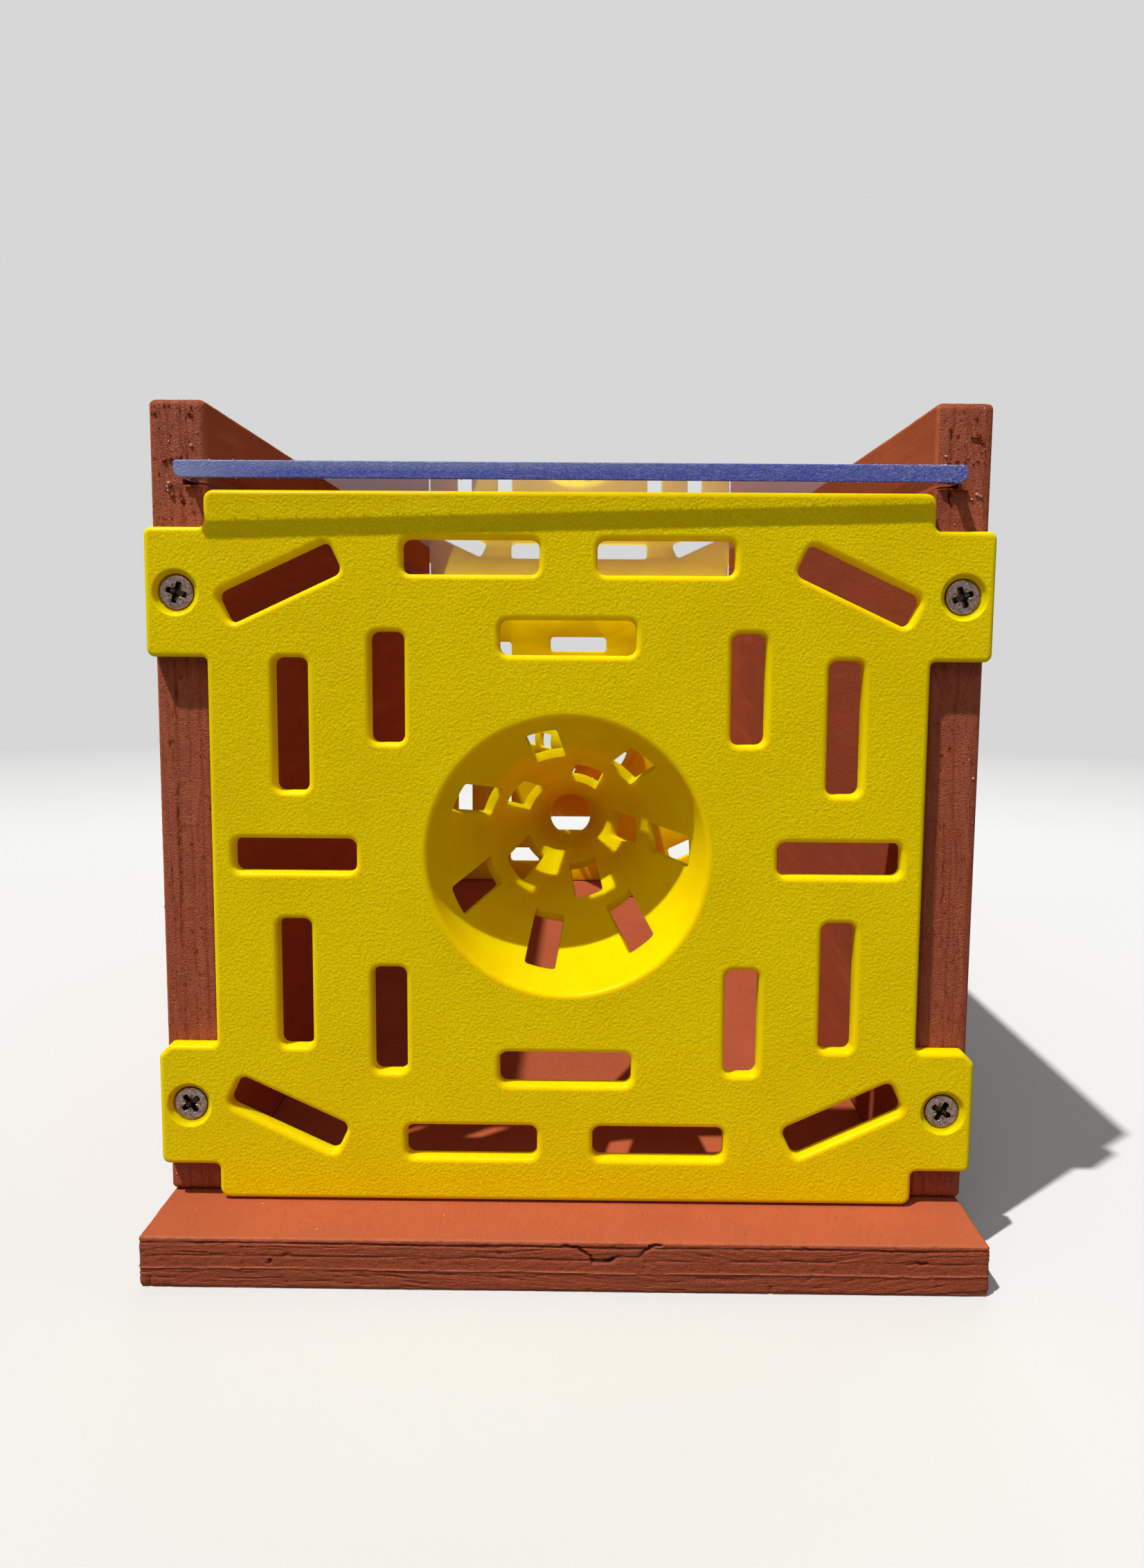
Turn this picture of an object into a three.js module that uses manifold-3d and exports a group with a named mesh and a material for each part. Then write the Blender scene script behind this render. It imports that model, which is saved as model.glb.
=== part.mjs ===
// Hornet trap: a painted plywood box with a moulded entrance plate on each end and a
// transparent lid that slides in grooves. Each plate is pierced by escape slots and carries
// a long funnel that points into the box, so that an insect walks in and can't find its way out.
// Millimetres, +Z up. The origin is the centre of the base's underside, and the front is at -Y.
import * as THREE from "three";
import { mergeVertices } from "three/addons/utils/BufferGeometryUtils.js";
import Module from "manifold-3d";

const wasm = await Module();
wasm.setup();

// Box
const chamberWidth = 129.2;
const boardLength = 313.4;
const boardThickness = 10;
const boardAboveLid = 11.7;
const baseThickness = 9.3;
const landingDepth = 18.3;
const woodEdge = 0.8;
const seatGap = 0.1;

// Entrance plate
const panelHeight = 129.7;
const panelThickness = 3.4;
const panelLift = 0.4;
const panelSideGap = 0.35;
const panelCorner = 1.8;
const panelEdge = 0.5;
const earHeight = 22.8;
const earInset = 6.45;
const earOverhang = 0.4;
const earCorner = 1.6;
const earRoot = 1;
const earChamfer = 2;
const earChamferCorner = 0.9;
const slotWidth = 6.2;
const slotCorner = 1.5;

// Slots: length, place as shares of the panel's half width and half height, and turn in degrees
const edgeSlotLength = 24.3;
const innerSlotLength = 24.3;
const sideSlotLength = 22.4;
const outerUprightLength = 24;
const innerUprightLength = 19.8;
const cornerSlotLength = 22.2;
const edgeSlotShares = [0.269, 0.825];
const innerSlotShares = [0, 0.608];
const sideSlotShares = [0.766, 0];
const outerUprightShares = [0.77, 0.365];
const innerUprightShares = [0.501, 0.469];
const cornerSlotShares = [0.798, 0.752];
const uprightTurn = 90;
const cornerSlotTurn = 25;

// Funnel
const mouthRadius = 25.4;
const tipRadius = 4.5;
const funnelWall = 1.8;
const mouthFlare = 0.6;
const windowWidth = 6;
const windowCorner = 0.6;
const outerWindowCount = 7;
const innerWindowCount = 5;

// Depths along the funnel, one after the other from the mouth to the tip
const mouthBand = 7.6;
const outerWindowDepth = 18.8;
const middleBand = 5.8;
const innerWindowDepth = 14.3;
const tipBand = 12.7;

// Lid
const lidThickness = 3;
const lidGap = 1.5;
const lidBite = 3.7;
const lidOverhang = 6.5;
const lidEdge = 0.3;
const grooveEndGap = 0.5;
const grooveFaceGap = 0.3;

// Screws that hold the plates
const plateScrewLength = 20;
const plateScrewRadius = 1.5;
const plateScrewCore = 1.05;
const plateScrewHead = 3.05;
const plateScrewPitch = 2.4;
const plateScrewRecess = 1.7;
const plateScrewSink = 0.9;
const plateScrewWell = 0.7;

// Screws that hold the side boards, driven up through the base
const baseScrewLength = 32;
const baseScrewRadius = 1.75;
const baseScrewCore = 1.2;
const baseScrewHead = 3.5;
const baseScrewPitch = 3.4;
const baseScrewRecess = 2;
const baseScrewSink = 0.4;
const baseScrewInset = 42;
const baseScrewsPerSide = 3;

// What every screw shares
const headRim = 0.3;
const screwClearance = 0.3;
const pilotSpare = 1.2;
const recessSlot = 0.62;
const recessTaper = 0.55;
const plainShank = 2.4;
const tipLength = 2.6;

const cutOverrun = 2;
const funnelSegments = 42;
const roundSegments = 14;
const threadSegments = 8;

// Places that follow from the sizes
const boxWidth = chamberWidth + 2 * boardThickness;
const boardCentreX = chamberWidth / 2 + boardThickness / 2;
const baseLength = boardLength + 2 * landingDepth;
const panelWidth = chamberWidth - 2 * panelSideGap;
const plateSpan = boxWidth + 2 * earOverhang;
const plateCentreZ = baseThickness + panelLift + panelHeight / 2;
const plateSeatY = boardLength / 2 + seatGap;
const boardFootZ = baseThickness + seatGap;
const lidBottomZ = plateCentreZ + panelHeight / 2 + lidGap;
const lidWidth = chamberWidth + 2 * lidBite;
const lidLength = boardLength + 2 * lidOverhang;
const boardHeight = lidBottomZ + lidThickness + boardAboveLid - boardFootZ;
const earPitch = panelHeight - 2 * earInset - earHeight;
const outerWindowEnd = mouthBand + outerWindowDepth;
const innerWindowStart = outerWindowEnd + middleBand;
const innerWindowEnd = innerWindowStart + innerWindowDepth;
const funnelDepth = innerWindowEnd + tipBand;
const funnelSlope = (mouthRadius - tipRadius) / funnelDepth;
const funnelTilt = Math.atan(funnelSlope);

// Materials
function material(color, roughness, metalness = 0) {
  return new THREE.MeshStandardMaterial({ color, roughness, metalness });
}
const paintedWood = material(0xa8503a, 0.7);
const mouldedPlastic = material(0xe3c405, 0.45);
const zincSteel = material(0x9c9078, 0.35, 0.9);
const lidPlastic = material(0x6f86e0, 0.15);
lidPlastic.transparent = true;
lidPlastic.opacity = 0.35;

// Solids and geometry
function solidOf(geometry) {
  const bare = geometry.clone();
  bare.deleteAttribute("normal");
  bare.deleteAttribute("uv");
  const merged = mergeVertices(bare);
  return new wasm.Manifold(
    new wasm.Mesh({
      numProp: 3,
      vertProperties: merged.attributes.position.array,
      triVerts: new Uint32Array(merged.index.array),
    }),
  );
}

function geometryOf(solid) {
  const mesh = solid.getMesh();
  const geometry = new THREE.BufferGeometry();
  geometry.setAttribute("position", new THREE.BufferAttribute(mesh.vertProperties, mesh.numProp));
  geometry.setIndex(new THREE.BufferAttribute(mesh.triVerts, 1));
  geometry.computeVertexNormals();
  return geometry;
}

function namedMesh(name, geometry, look) {
  const mesh = new THREE.Mesh(geometry, look);
  mesh.name = name;
  return mesh;
}

// A closed outline through [x, y, radius] corners, each rounded with its own radius.
function roundedOutline(corners, Outline = THREE.Shape) {
  const outline = new Outline();
  corners.forEach(([x, y, radius], i) => {
    const corner = new THREE.Vector2(x, y);
    const [before, after] = [corners.at(i - 1), corners[(i + 1) % corners.length]].map(([nearX, nearY]) =>
      new THREE.Vector2(nearX, nearY).sub(corner).setLength(radius).add(corner),
    );
    if (i) {
      outline.lineTo(before.x, before.y);
    } else {
      outline.moveTo(before.x, before.y);
    }
    outline.quadraticCurveTo(x, y, after.x, after.y);
  });
  outline.closePath();
  return outline;
}

// The four corners of a rectangle, which may be turned and moved.
function rectCorners(width, height, radius, turn = 0, x = 0, y = 0) {
  const centre = new THREE.Vector2(x, y);
  const signs = [[-1, -1], [1, -1], [1, 1], [-1, 1]];
  return signs.map(([signX, signY]) => {
    const corner = new THREE.Vector2((signX * width) / 2, (signY * height) / 2);
    corner.rotateAround(new THREE.Vector2(), THREE.MathUtils.degToRad(turn)).add(centre);
    return [corner.x, corner.y, radius];
  });
}

// A slab with all its edges broken: width along x, height along y, thickness along z, centred.
function slab(width, height, thickness, edge) {
  const outline = roundedOutline(rectCorners(width - 2 * edge, height - 2 * edge, edge / 2));
  const geometry = new THREE.ExtrudeGeometry(outline, {
    depth: thickness - 2 * edge,
    bevelThickness: edge,
    bevelSize: edge,
    bevelSegments: 1,
    curveSegments: 1,
  });
  return geometry.translate(0, 0, edge - thickness / 2);
}

// A solid of revolution about z, from a profile of [radius, z] pairs that rise along the outside.
function turned(profile, segments) {
  const points = profile.map(([radius, z]) => new THREE.Vector2(radius, z));
  return new THREE.LatheGeometry(points, segments).rotateX(Math.PI / 2);
}

// Screws. The tip points to -z, and z is 0 on the flat top of the head.
const plateScrew = {
  length: plateScrewLength,
  radius: plateScrewRadius,
  core: plateScrewCore,
  head: plateScrewHead,
  pitch: plateScrewPitch,
  recess: plateScrewRecess,
};
const baseScrew = {
  length: baseScrewLength,
  radius: baseScrewRadius,
  core: baseScrewCore,
  head: baseScrewHead,
  pitch: baseScrewPitch,
  recess: baseScrewRecess,
};

// The crests of the thread are drawn as rings, one at each pitch.
function threadProfile(screw) {
  const start = headRim + screw.head - screw.core + plainShank;
  const end = screw.length - tipLength;
  const crests = Math.max(1, Math.floor((end - start) / screw.pitch));
  const step = (end - start) / crests;
  const points = [];
  for (let i = crests - 1; i >= 0; i -= 1) {
    const root = start + i * step;
    points.push([screw.radius, -root - step / 2]);
    points.push([screw.core, -root]);
  }
  return [[screw.core, -end], ...points];
}

function screwGeometry(screw) {
  const neck = headRim + screw.head - screw.core;
  const profile = [
    [0, -screw.length],
    ...threadProfile(screw),
    [screw.core, -neck],
    [screw.head, -headRim],
    [screw.head, 0],
    [0, 0],
  ];
  const body = solidOf(turned(profile, threadSegments));
  return geometryOf(body.subtract(driveRecess(screw)));
}

// Four tapered wings for a cross-point driver, cut into the head.
function driveRecess(screw) {
  const depth = screw.head - screw.core;
  const outline = new THREE.Shape();
  outline.moveTo(-screw.recess, cutOverrun);
  outline.lineTo(-screw.recess, 0);
  outline.lineTo(-screw.recess * recessTaper, -depth);
  outline.lineTo(screw.recess * recessTaper, -depth);
  outline.lineTo(screw.recess, 0);
  outline.lineTo(screw.recess, cutOverrun);
  const wing = new THREE.ExtrudeGeometry(outline, { depth: recessSlot, bevelEnabled: false });
  wing.translate(0, 0, -recessSlot / 2).rotateX(Math.PI / 2);
  const other = wing.clone().rotateZ(Math.PI / 2);
  return solidOf(wing).add(solidOf(other)).rotate([0, 0, 45]);
}

// The clearance cut for a countersunk screw whose head lies sink below the face at z 0.
function screwCut(screw, sink, well, depth) {
  const hole = screw.radius + screwClearance;
  const seat = screw.head + screwClearance;
  const floor = sink + headRim;
  const wellSlope = well / sink;
  const profile = [
    [0, -depth],
    [hole, -depth],
    [hole, -floor - (seat - hole)],
    [seat, -floor],
    [seat, -sink],
    [seat + wellSlope * (sink + cutOverrun), cutOverrun],
    [0, cutOverrun],
  ];
  return solidOf(turned(profile, roundSegments));
}

function pilotCut(screw, reach) {
  const radius = screw.radius + screwClearance;
  const height = reach + pilotSpare + cutOverrun;
  const hole = new THREE.CylinderGeometry(radius, radius, height, threadSegments);
  return solidOf(hole.rotateX(Math.PI / 2).translate(0, 0, cutOverrun - height / 2));
}

// Entrance plate, in its own frame: x across, y up, z out of the box, with its back at z 0.
const earCentres = [
  [-boardCentreX, earPitch / 2],
  [boardCentreX, earPitch / 2],
  [-boardCentreX, -earPitch / 2],
  [boardCentreX, -earPitch / 2],
];

function slotPlaces() {
  const kinds = [
    { shares: edgeSlotShares, length: edgeSlotLength, turn: 0 },
    { shares: innerSlotShares, length: innerSlotLength, turn: 0 },
    { shares: sideSlotShares, length: sideSlotLength, turn: 0 },
    { shares: outerUprightShares, length: outerUprightLength, turn: uprightTurn },
    { shares: innerUprightShares, length: innerUprightLength, turn: uprightTurn },
    { shares: cornerSlotShares, length: cornerSlotLength, turn: cornerSlotTurn },
  ];
  const places = [];
  for (const { shares, length, turn } of kinds) {
    for (const sideX of shares[0] ? [-1, 1] : [1]) {
      for (const sideY of shares[1] ? [-1, 1] : [1]) {
        const x = (sideX * shares[0] * panelWidth) / 2;
        const y = (sideY * shares[1] * panelHeight) / 2;
        places.push({ x, y, length, turn: -sideX * sideY * turn });
      }
    }
  }
  return places;
}

// The plate's outline: a rectangle with two ears on each side, the lower ones with a chamfer.
function plateOutline() {
  const x = panelWidth / 2;
  const y = panelHeight / 2;
  const earX = plateSpan / 2;
  const earLow = earPitch / 2 - earHeight / 2;
  const earHigh = earPitch / 2 + earHeight / 2;
  const rightHalf = [
    [x, -y, panelCorner],
    [x, -earHigh, earRoot],
    [earX, -earHigh, earCorner],
    [earX, -earLow - earChamfer, earChamferCorner],
    [earX - earChamfer, -earLow, earChamferCorner],
    [x, -earLow, earRoot],
    [x, earLow, earRoot],
    [earX, earLow, earCorner],
    [earX, earHigh, earCorner],
    [x, earHigh, earRoot],
    [x, y, panelCorner],
  ];
  const leftHalf = rightHalf.map(([cornerX, cornerY, radius]) => [-cornerX, cornerY, radius]);
  return roundedOutline([...rightHalf, ...leftHalf.reverse()]);
}

function panelSolid() {
  const outline = plateOutline();
  for (const { x, y, length, turn } of slotPlaces()) {
    const corners = rectCorners(length, slotWidth, slotCorner, turn, x, y);
    outline.holes.push(roundedOutline(corners, THREE.Path));
  }
  const panel = new THREE.ExtrudeGeometry(outline, {
    depth: panelThickness - 2 * panelEdge,
    bevelThickness: panelEdge,
    bevelSize: panelEdge,
    bevelOffset: -panelEdge,
    bevelSegments: 1,
    curveSegments: 2,
  });
  return solidOf(panel.translate(0, 0, panelEdge));
}

// The funnel's radius at a depth below the outer face, on its inner side.
function funnelRadius(depth) {
  return mouthRadius - funnelSlope * depth;
}

function funnelOuter() {
  const skin = funnelWall / Math.cos(funnelTilt);
  const rootDepth = panelThickness / 2;
  const profile = [
    [0, panelThickness - funnelDepth],
    [tipRadius + skin, panelThickness - funnelDepth],
    [funnelRadius(rootDepth) + skin, panelThickness - rootDepth],
    [0, panelThickness - rootDepth],
  ];
  return solidOf(turned(profile, funnelSegments));
}

function funnelBore() {
  const profile = [
    [0, panelThickness - funnelDepth - cutOverrun],
    [funnelRadius(funnelDepth + cutOverrun), panelThickness - funnelDepth - cutOverrun],
    [funnelRadius(mouthFlare), panelThickness - mouthFlare],
    [funnelRadius(mouthFlare) + mouthFlare + cutOverrun, panelThickness + cutOverrun],
    [0, panelThickness + cutOverrun],
  ];
  return solidOf(turned(profile, funnelSegments));
}

// One ring of windows in the funnel's wall, each a rectangle along the slope.
function windowRing(count, start, end) {
  const slant = (end - start) / Math.cos(funnelTilt);
  const middle = (start + end) / 2;
  const reach = funnelWall + cutOverrun;
  const outline = roundedOutline(rectCorners(slant, windowWidth, windowCorner));
  const cut = new THREE.ExtrudeGeometry(outline, {
    depth: 2 * reach,
    bevelEnabled: false,
    curveSegments: 1,
  });
  cut.translate(0, 0, -reach).rotateY(Math.PI / 2 - funnelTilt);
  cut.translate(funnelRadius(middle), 0, panelThickness - middle);
  const cuts = [];
  for (let i = 0; i < count; i += 1) {
    cuts.push(solidOf(cut.clone().rotateZ((i * 2 * Math.PI) / count)));
  }
  return wasm.Manifold.union(cuts);
}

function entrancePlate() {
  const well = screwCut(plateScrew, plateScrewSink, plateScrewWell, panelThickness + cutOverrun);
  const wells = earCentres.map(([x, y]) => well.translate([x, y, panelThickness]));
  return panelSolid()
    .add(funnelOuter())
    .subtract(funnelBore())
    .subtract(wasm.Manifold.union(wells))
    .subtract(windowRing(outerWindowCount, mouthBand, outerWindowEnd))
    .subtract(windowRing(innerWindowCount, innerWindowStart, innerWindowEnd));
}

// Side board, in its own frame: x along the box, y up, z towards the chamber on the left board.
function sideBoard() {
  let board = solidOf(slab(boardLength, boardHeight, boardThickness, woodEdge));
  const grooveHeight = lidThickness + 2 * grooveFaceGap;
  const grooveDepth = lidBite + grooveEndGap;
  const grooveLength = boardLength + 2 * cutOverrun;
  const groove = new THREE.BoxGeometry(grooveLength, grooveHeight, grooveDepth + cutOverrun);
  const grooveY = lidBottomZ + lidThickness / 2 - boardFootZ - boardHeight / 2;
  groove.translate(0, grooveY, (boardThickness - grooveDepth + cutOverrun) / 2);
  board = board.subtract(solidOf(groove));
  const plateReach = plateScrewLength + plateScrewSink - panelThickness;
  for (const end of [-1, 1]) {
    for (const side of [-1, 1]) {
      const y = plateCentreZ + (side * earPitch) / 2 - boardFootZ - boardHeight / 2;
      const pilot = pilotCut(plateScrew, plateReach).rotate([0, end * 90, 0]);
      board = board.subtract(pilot.translate([(end * boardLength) / 2, y, 0]));
    }
  }
  for (const x of baseScrewPlaces()) {
    const pilot = pilotCut(baseScrew, baseScrewLength + baseScrewSink - baseThickness).rotate([90, 0, 0]);
    board = board.subtract(pilot.translate([x, -boardHeight / 2, 0]));
  }
  return board;
}

// Distances along the box of the screws in each side board's foot.
function baseScrewPlaces() {
  const reach = boardLength / 2 - baseScrewInset;
  const places = [];
  for (let i = 0; i < baseScrewsPerSide; i += 1) {
    places.push((2 * reach * i) / (baseScrewsPerSide - 1) - reach);
  }
  return places;
}

function baseBoard() {
  let board = solidOf(slab(boxWidth, baseLength, baseThickness, woodEdge));
  const cut = screwCut(baseScrew, baseScrewSink, 0, baseThickness + cutOverrun).rotate([180, 0, 0]);
  for (const side of [-1, 1]) {
    for (const y of baseScrewPlaces()) {
      board = board.subtract(cut.translate([side * boardCentreX, y, -baseThickness / 2]));
    }
  }
  return board;
}

// Assembly
function sideBoardMesh(name, side) {
  const mesh = namedMesh(name, sideBoardGeometry, paintedWood);
  mesh.position.set(side * boardCentreX, 0, boardFootZ + boardHeight / 2);
  mesh.rotation.set(Math.PI / 2, 0, (-side * Math.PI) / 2, "ZYX");
  return mesh;
}

// One end of the box: the plate and its four screws, facing out along the group's z.
function entranceEnd(end, turn) {
  const group = new THREE.Group();
  group.add(namedMesh(`${end}_entrance_plate`, plateGeometry, mouldedPlastic));
  const names = ["upper_left", "upper_right", "lower_left", "lower_right"];
  earCentres.forEach(([x, y], i) => {
    const screw = namedMesh(`${end}_screw_${names[i]}`, plateScrewGeometry, zincSteel);
    screw.position.set(x, y, panelThickness - plateScrewSink);
    group.add(screw);
  });
  group.position.set(0, turn ? plateSeatY : -plateSeatY, plateCentreZ);
  group.rotation.set(Math.PI / 2, 0, turn, "ZYX");
  return group;
}

function baseScrewMeshes() {
  const group = new THREE.Group();
  for (const [sideName, side] of [["left", -1], ["right", 1]]) {
    baseScrewPlaces().forEach((y, i) => {
      const screw = namedMesh(`base_screw_${sideName}_${i + 1}`, baseScrewGeometry, zincSteel);
      screw.position.set(side * boardCentreX, y, baseScrewSink);
      screw.rotation.x = Math.PI;
      group.add(screw);
    });
  }
  return group;
}

const sideBoardGeometry = geometryOf(sideBoard());
const plateGeometry = geometryOf(entrancePlate());
const plateScrewGeometry = screwGeometry(plateScrew);
const baseScrewGeometry = screwGeometry(baseScrew);

const baseMesh = namedMesh("base_board", geometryOf(baseBoard()), paintedWood);
baseMesh.position.z = baseThickness / 2;

const lidMesh = namedMesh("lid_sheet", slab(lidWidth, lidLength, lidThickness, lidEdge), lidPlastic);
lidMesh.position.z = lidBottomZ + lidThickness / 2;

const trap = new THREE.Group();
trap.add(baseMesh);
trap.add(sideBoardMesh("left_side_board", -1));
trap.add(sideBoardMesh("right_side_board", 1));
trap.add(entranceEnd("front", 0));
trap.add(entranceEnd("rear", Math.PI));
trap.add(lidMesh);
trap.add(baseScrewMeshes());

export default trap;
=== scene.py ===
import math

import bmesh
import bpy
import numpy as np
from mathutils import Matrix, Vector
from mathutils.geometry import delaunay_2d_cdt


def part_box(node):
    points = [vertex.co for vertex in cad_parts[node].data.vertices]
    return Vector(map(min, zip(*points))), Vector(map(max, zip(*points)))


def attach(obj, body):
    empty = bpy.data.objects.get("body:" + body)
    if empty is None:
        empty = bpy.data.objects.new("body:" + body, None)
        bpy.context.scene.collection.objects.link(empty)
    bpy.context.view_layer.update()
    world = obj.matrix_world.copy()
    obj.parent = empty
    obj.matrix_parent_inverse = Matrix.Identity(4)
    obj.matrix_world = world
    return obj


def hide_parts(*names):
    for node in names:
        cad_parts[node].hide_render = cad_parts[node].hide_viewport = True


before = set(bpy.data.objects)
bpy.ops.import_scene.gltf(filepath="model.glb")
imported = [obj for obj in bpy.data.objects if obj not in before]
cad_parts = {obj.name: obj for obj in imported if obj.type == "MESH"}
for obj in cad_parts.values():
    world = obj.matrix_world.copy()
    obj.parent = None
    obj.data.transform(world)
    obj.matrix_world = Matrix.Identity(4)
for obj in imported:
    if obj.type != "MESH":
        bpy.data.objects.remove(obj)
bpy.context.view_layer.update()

# Every length below is in metres, written in millimetres times MM.
MM = 0.001

# The camera as it stood for the photograph, in the row frame. Pixels are those of the photograph.
IMAGE_WIDTH = 1652
IMAGE_HEIGHT = 2264
FOCAL_PIXELS = 1756.75
SENSOR = 36
CLIP_START = 0.01
CAMERA_PLACE = Vector((3.13, -376.8, 112.1)) * MM
CAMERA_PITCH = math.radians(6.35)
CAMERA_YAW = math.radians(-0.59)
CAMERA_ROLL = math.radians(0.40)

# Entrance plate
PANEL_CORNER = 1.8 * MM
EAR_HEIGHT = 22.8 * MM
EAR_INSET = 6.45 * MM
EAR_CORNER = 1.4 * MM
EAR_CHAMFER = 2.0 * MM
EAR_CHAMFER_CORNER = 1.15 * MM
EAR_ROOT = 1.0 * MM
PANEL_THICKNESS = 3.4 * MM
PANEL_SIDE_GAP = 0.35 * MM
OUTER_EDGE = 0.85 * MM
SLOT_EDGE = 0.95 * MM
BACK_EDGE = 0.25 * MM
SUPPORT = 0.15 * MM
SLOT_WIDTH = 6.2 * MM
SLOT_CORNER = 1.5 * MM

# Slots: length, centre as shares of the panel's half width and half height, turn in degrees
SLOT_KINDS = (
    (24.3 * MM, (0.269, 0.825), 0),
    (24.3 * MM, (0, 0.608), 0),
    (22.4 * MM, (0.766, 0), 0),
    (24.0 * MM, (0.77, 0.365), 90),
    (19.8 * MM, (0.501, 0.469), 90),
    (22.2 * MM, (0.798, 0.752), 25),
)

# Funnel
MOUTH_RADIUS = 25.4 * MM
TIP_RADIUS = 4.5 * MM
FUNNEL_WALL = 1.8 * MM
RIM_ROUNDING = 1.1 * MM
ROOT_ROUNDING = 1.2 * MM
TIP_ROUNDING = 0.3 * MM
WINDOW_WIDTH = 6.0 * MM
WINDOW_CORNER = 0.7 * MM
MOUTH_BAND = 7.6 * MM
OUTER_WINDOW_DEPTH = 18.8 * MM
MIDDLE_BAND = 5.8 * MM
INNER_WINDOW_DEPTH = 14.3 * MM
TIP_BAND = 12.7 * MM
FUNNEL_COLUMNS = 140
# Rings of windows: how many windows, and half the columns across each
WINDOW_RINGS = {"outer": (7, 3), "inner": (5, 6)}

# Screws
SCREW_SINK = 0.9 * MM
WELL_RIM = 4.2 * MM
BASE_SCREW_SINK = 0.4 * MM
SCREW_CLEARANCE = 0.3 * MM
HEAD_RIM = 0.3 * MM
# Depth and reach of the cross recess, as shares of the head's radius
RECESS_DEPTH = 0.66
RECESS_REACH = 0.62
PLATE_SCREW = dict(head=3.05 * MM, radius=1.5 * MM, core=1.05 * MM, length=20 * MM, pitch=1.35 * MM)
BASE_SCREW = dict(head=3.5 * MM, radius=1.75 * MM, core=1.2 * MM, length=32 * MM, pitch=1.6 * MM)
# Columns of faces round a screw, its well and its hole
SCREW_COLUMNS = 72
WELL_COLUMNS = 40
HOLE_COLUMNS = 32
# A screw's underside and neck in head radii, its point in core radii, and its thread in pitches
UNDERSIDE = 0.98
NECK = 0.4
POINT = 2.6
THREAD_ROW = 1 / 6
THREAD_SLOPE = 4.5
# The well round a plate's screw: shares of the way from its rim to the head, and of its depth
WELL_CURVE = ((0.08, 0.03), (0.18, 0.14), (0.32, 0.48), (0.46, 0.78), (0.62, 0.94), (0.8, 0.99), (1, 1))

# Boards
BOARD_EDGE = 1.0 * MM
BOARD_CORNER = 1.4 * MM
BASE_EDGE = 0.65 * MM
BASE_CORNER = 0.85 * MM
# How strong the relief of the base's and of the side boards' plies is, and the seed of the base's
BASE_RELIEF = 1.0
SIDE_RELIEF = 0.5
BASE_SEED = 3
# Steps of the mesh along a board's ends, along its sides and through its thickness
END_STEP = 0.4 * MM
SIDE_STEP = 1.3 * MM
ROW_STEP = 0.17 * MM
# How far the rims' ragged line wanders
RAGGED = 0.09 * MM
# Half widths of the seams between plies and of the splits, and how far a ply's edge blurs, in mm
SEAM_WIDTH = 0.17
CRACK_WIDTH = 0.23
PLY_BLUR = 0.12
GROOVE_GAP = 0.3 * MM
GROOVE_END_GAP = 0.5 * MM
# Small lumps on each front end: their number, their sizes in mm, their distance from the plate's ears,
# and how many of them are large or show bare wood
SMALL_LUMPS = 220
LUMP_SIZES = (0.06, 0.16)
LUMP_GAP = 0.5 * MM
LARGE_SHARE = 0.07
LARGE = 1.7
BARE_SHARE = 0.02

# Plies across a board's thickness: the share of it where each ends, whether its grain runs along the
# edge (1) or ends in it (0), and the depth of the seam after it in mm, where a ridge is less than 0
BASE_PLIES = ((0.4, 1, -0.1), (0.635, 0, 0.22), (0.885, 1, 0.36), (1, 0, 0))
LEFT_PLIES = ((0.2, 0, 0.2), (0.42, 1, 0.2), (0.63, 0, 0.2), (0.93, 1, 0.2), (1, 0, 0))
RIGHT_PLIES = ((0.12, 0, 0.2), (0.45, 1, 0.2), (0.7, 0, 0.2), (0.93, 1, 0.2), (1, 0, 0))

# Splits in the boards' front ends: depth in mm, and (mm along from the middle, mm through) along each
BASE_CRACKS = (
    (0.9, ((0.0, 8.42), (2.35, 8.28), (3.03, 7.64), (4.79, 6.69), (5.32, 5.6))),
    (1.3, ((5.32, 5.75), (6.77, 5.84), (8.33, 5.86))),
    (1.0, ((5.4, 5.45), (8.0, 5.55))),
    (1.1, ((8.33, 5.9), (9.09, 6.41), (13.23, 6.46), (13.99, 7.35), (15.27, 8.34), (17.07, 8.8))),
    (0.5, ((14.0, 7.1), (14.44, 5.5))),
    (0.6, ((-72.7, 0.0), (-72.6, 1.8))),
    (0.6, ((-51.5, 4.7), (-51.3, 5.2))),
    (0.5, ((-48.9, 6.3), (-48.3, 6.5))),
    (0.5, ((42.1, 8.6), (43.1, 8.3))),
    (0.6, ((60.0, 5.7), (61.2, 6.1), (64.0, 5.8))),
    (0.5, ((36.3, 0.0), (36.3, 1.3))),
    (0.3, ((43.6, 4.6), (43.4, 3.2), (42.0, 2.3))),
)
LEFT_CRACKS = (
    (0.28, ((32.0, 6.3), (27.5, 6.5), (23.0, 6.3), (20.0, 6.6), (14.0, 6.4))),
    (0.45, ((12.2, 7.4), (11.6, 7.9))),
    (1.0, ((57.6, 5.4), (56.4, 4.6), (54.9, 4.1))),
    (0.8, ((57.8, 4.8), (56.8, 4.1))),
    (0.5, ((70.2, 8.9), (69.6, 9.1))),
    (0.45, ((70.2, 2.6), (69.7, 3.0))),
    (0.28, ((4.0, 6.4), (-6.0, 6.7), (-12.0, 6.5), (-26.0, 6.6))),
    (0.4, ((62.5, 8.9), (61.8, 9.1))),
    (0.5, ((66.0, 3.4), (62.0, 3.1))),
)
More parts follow.
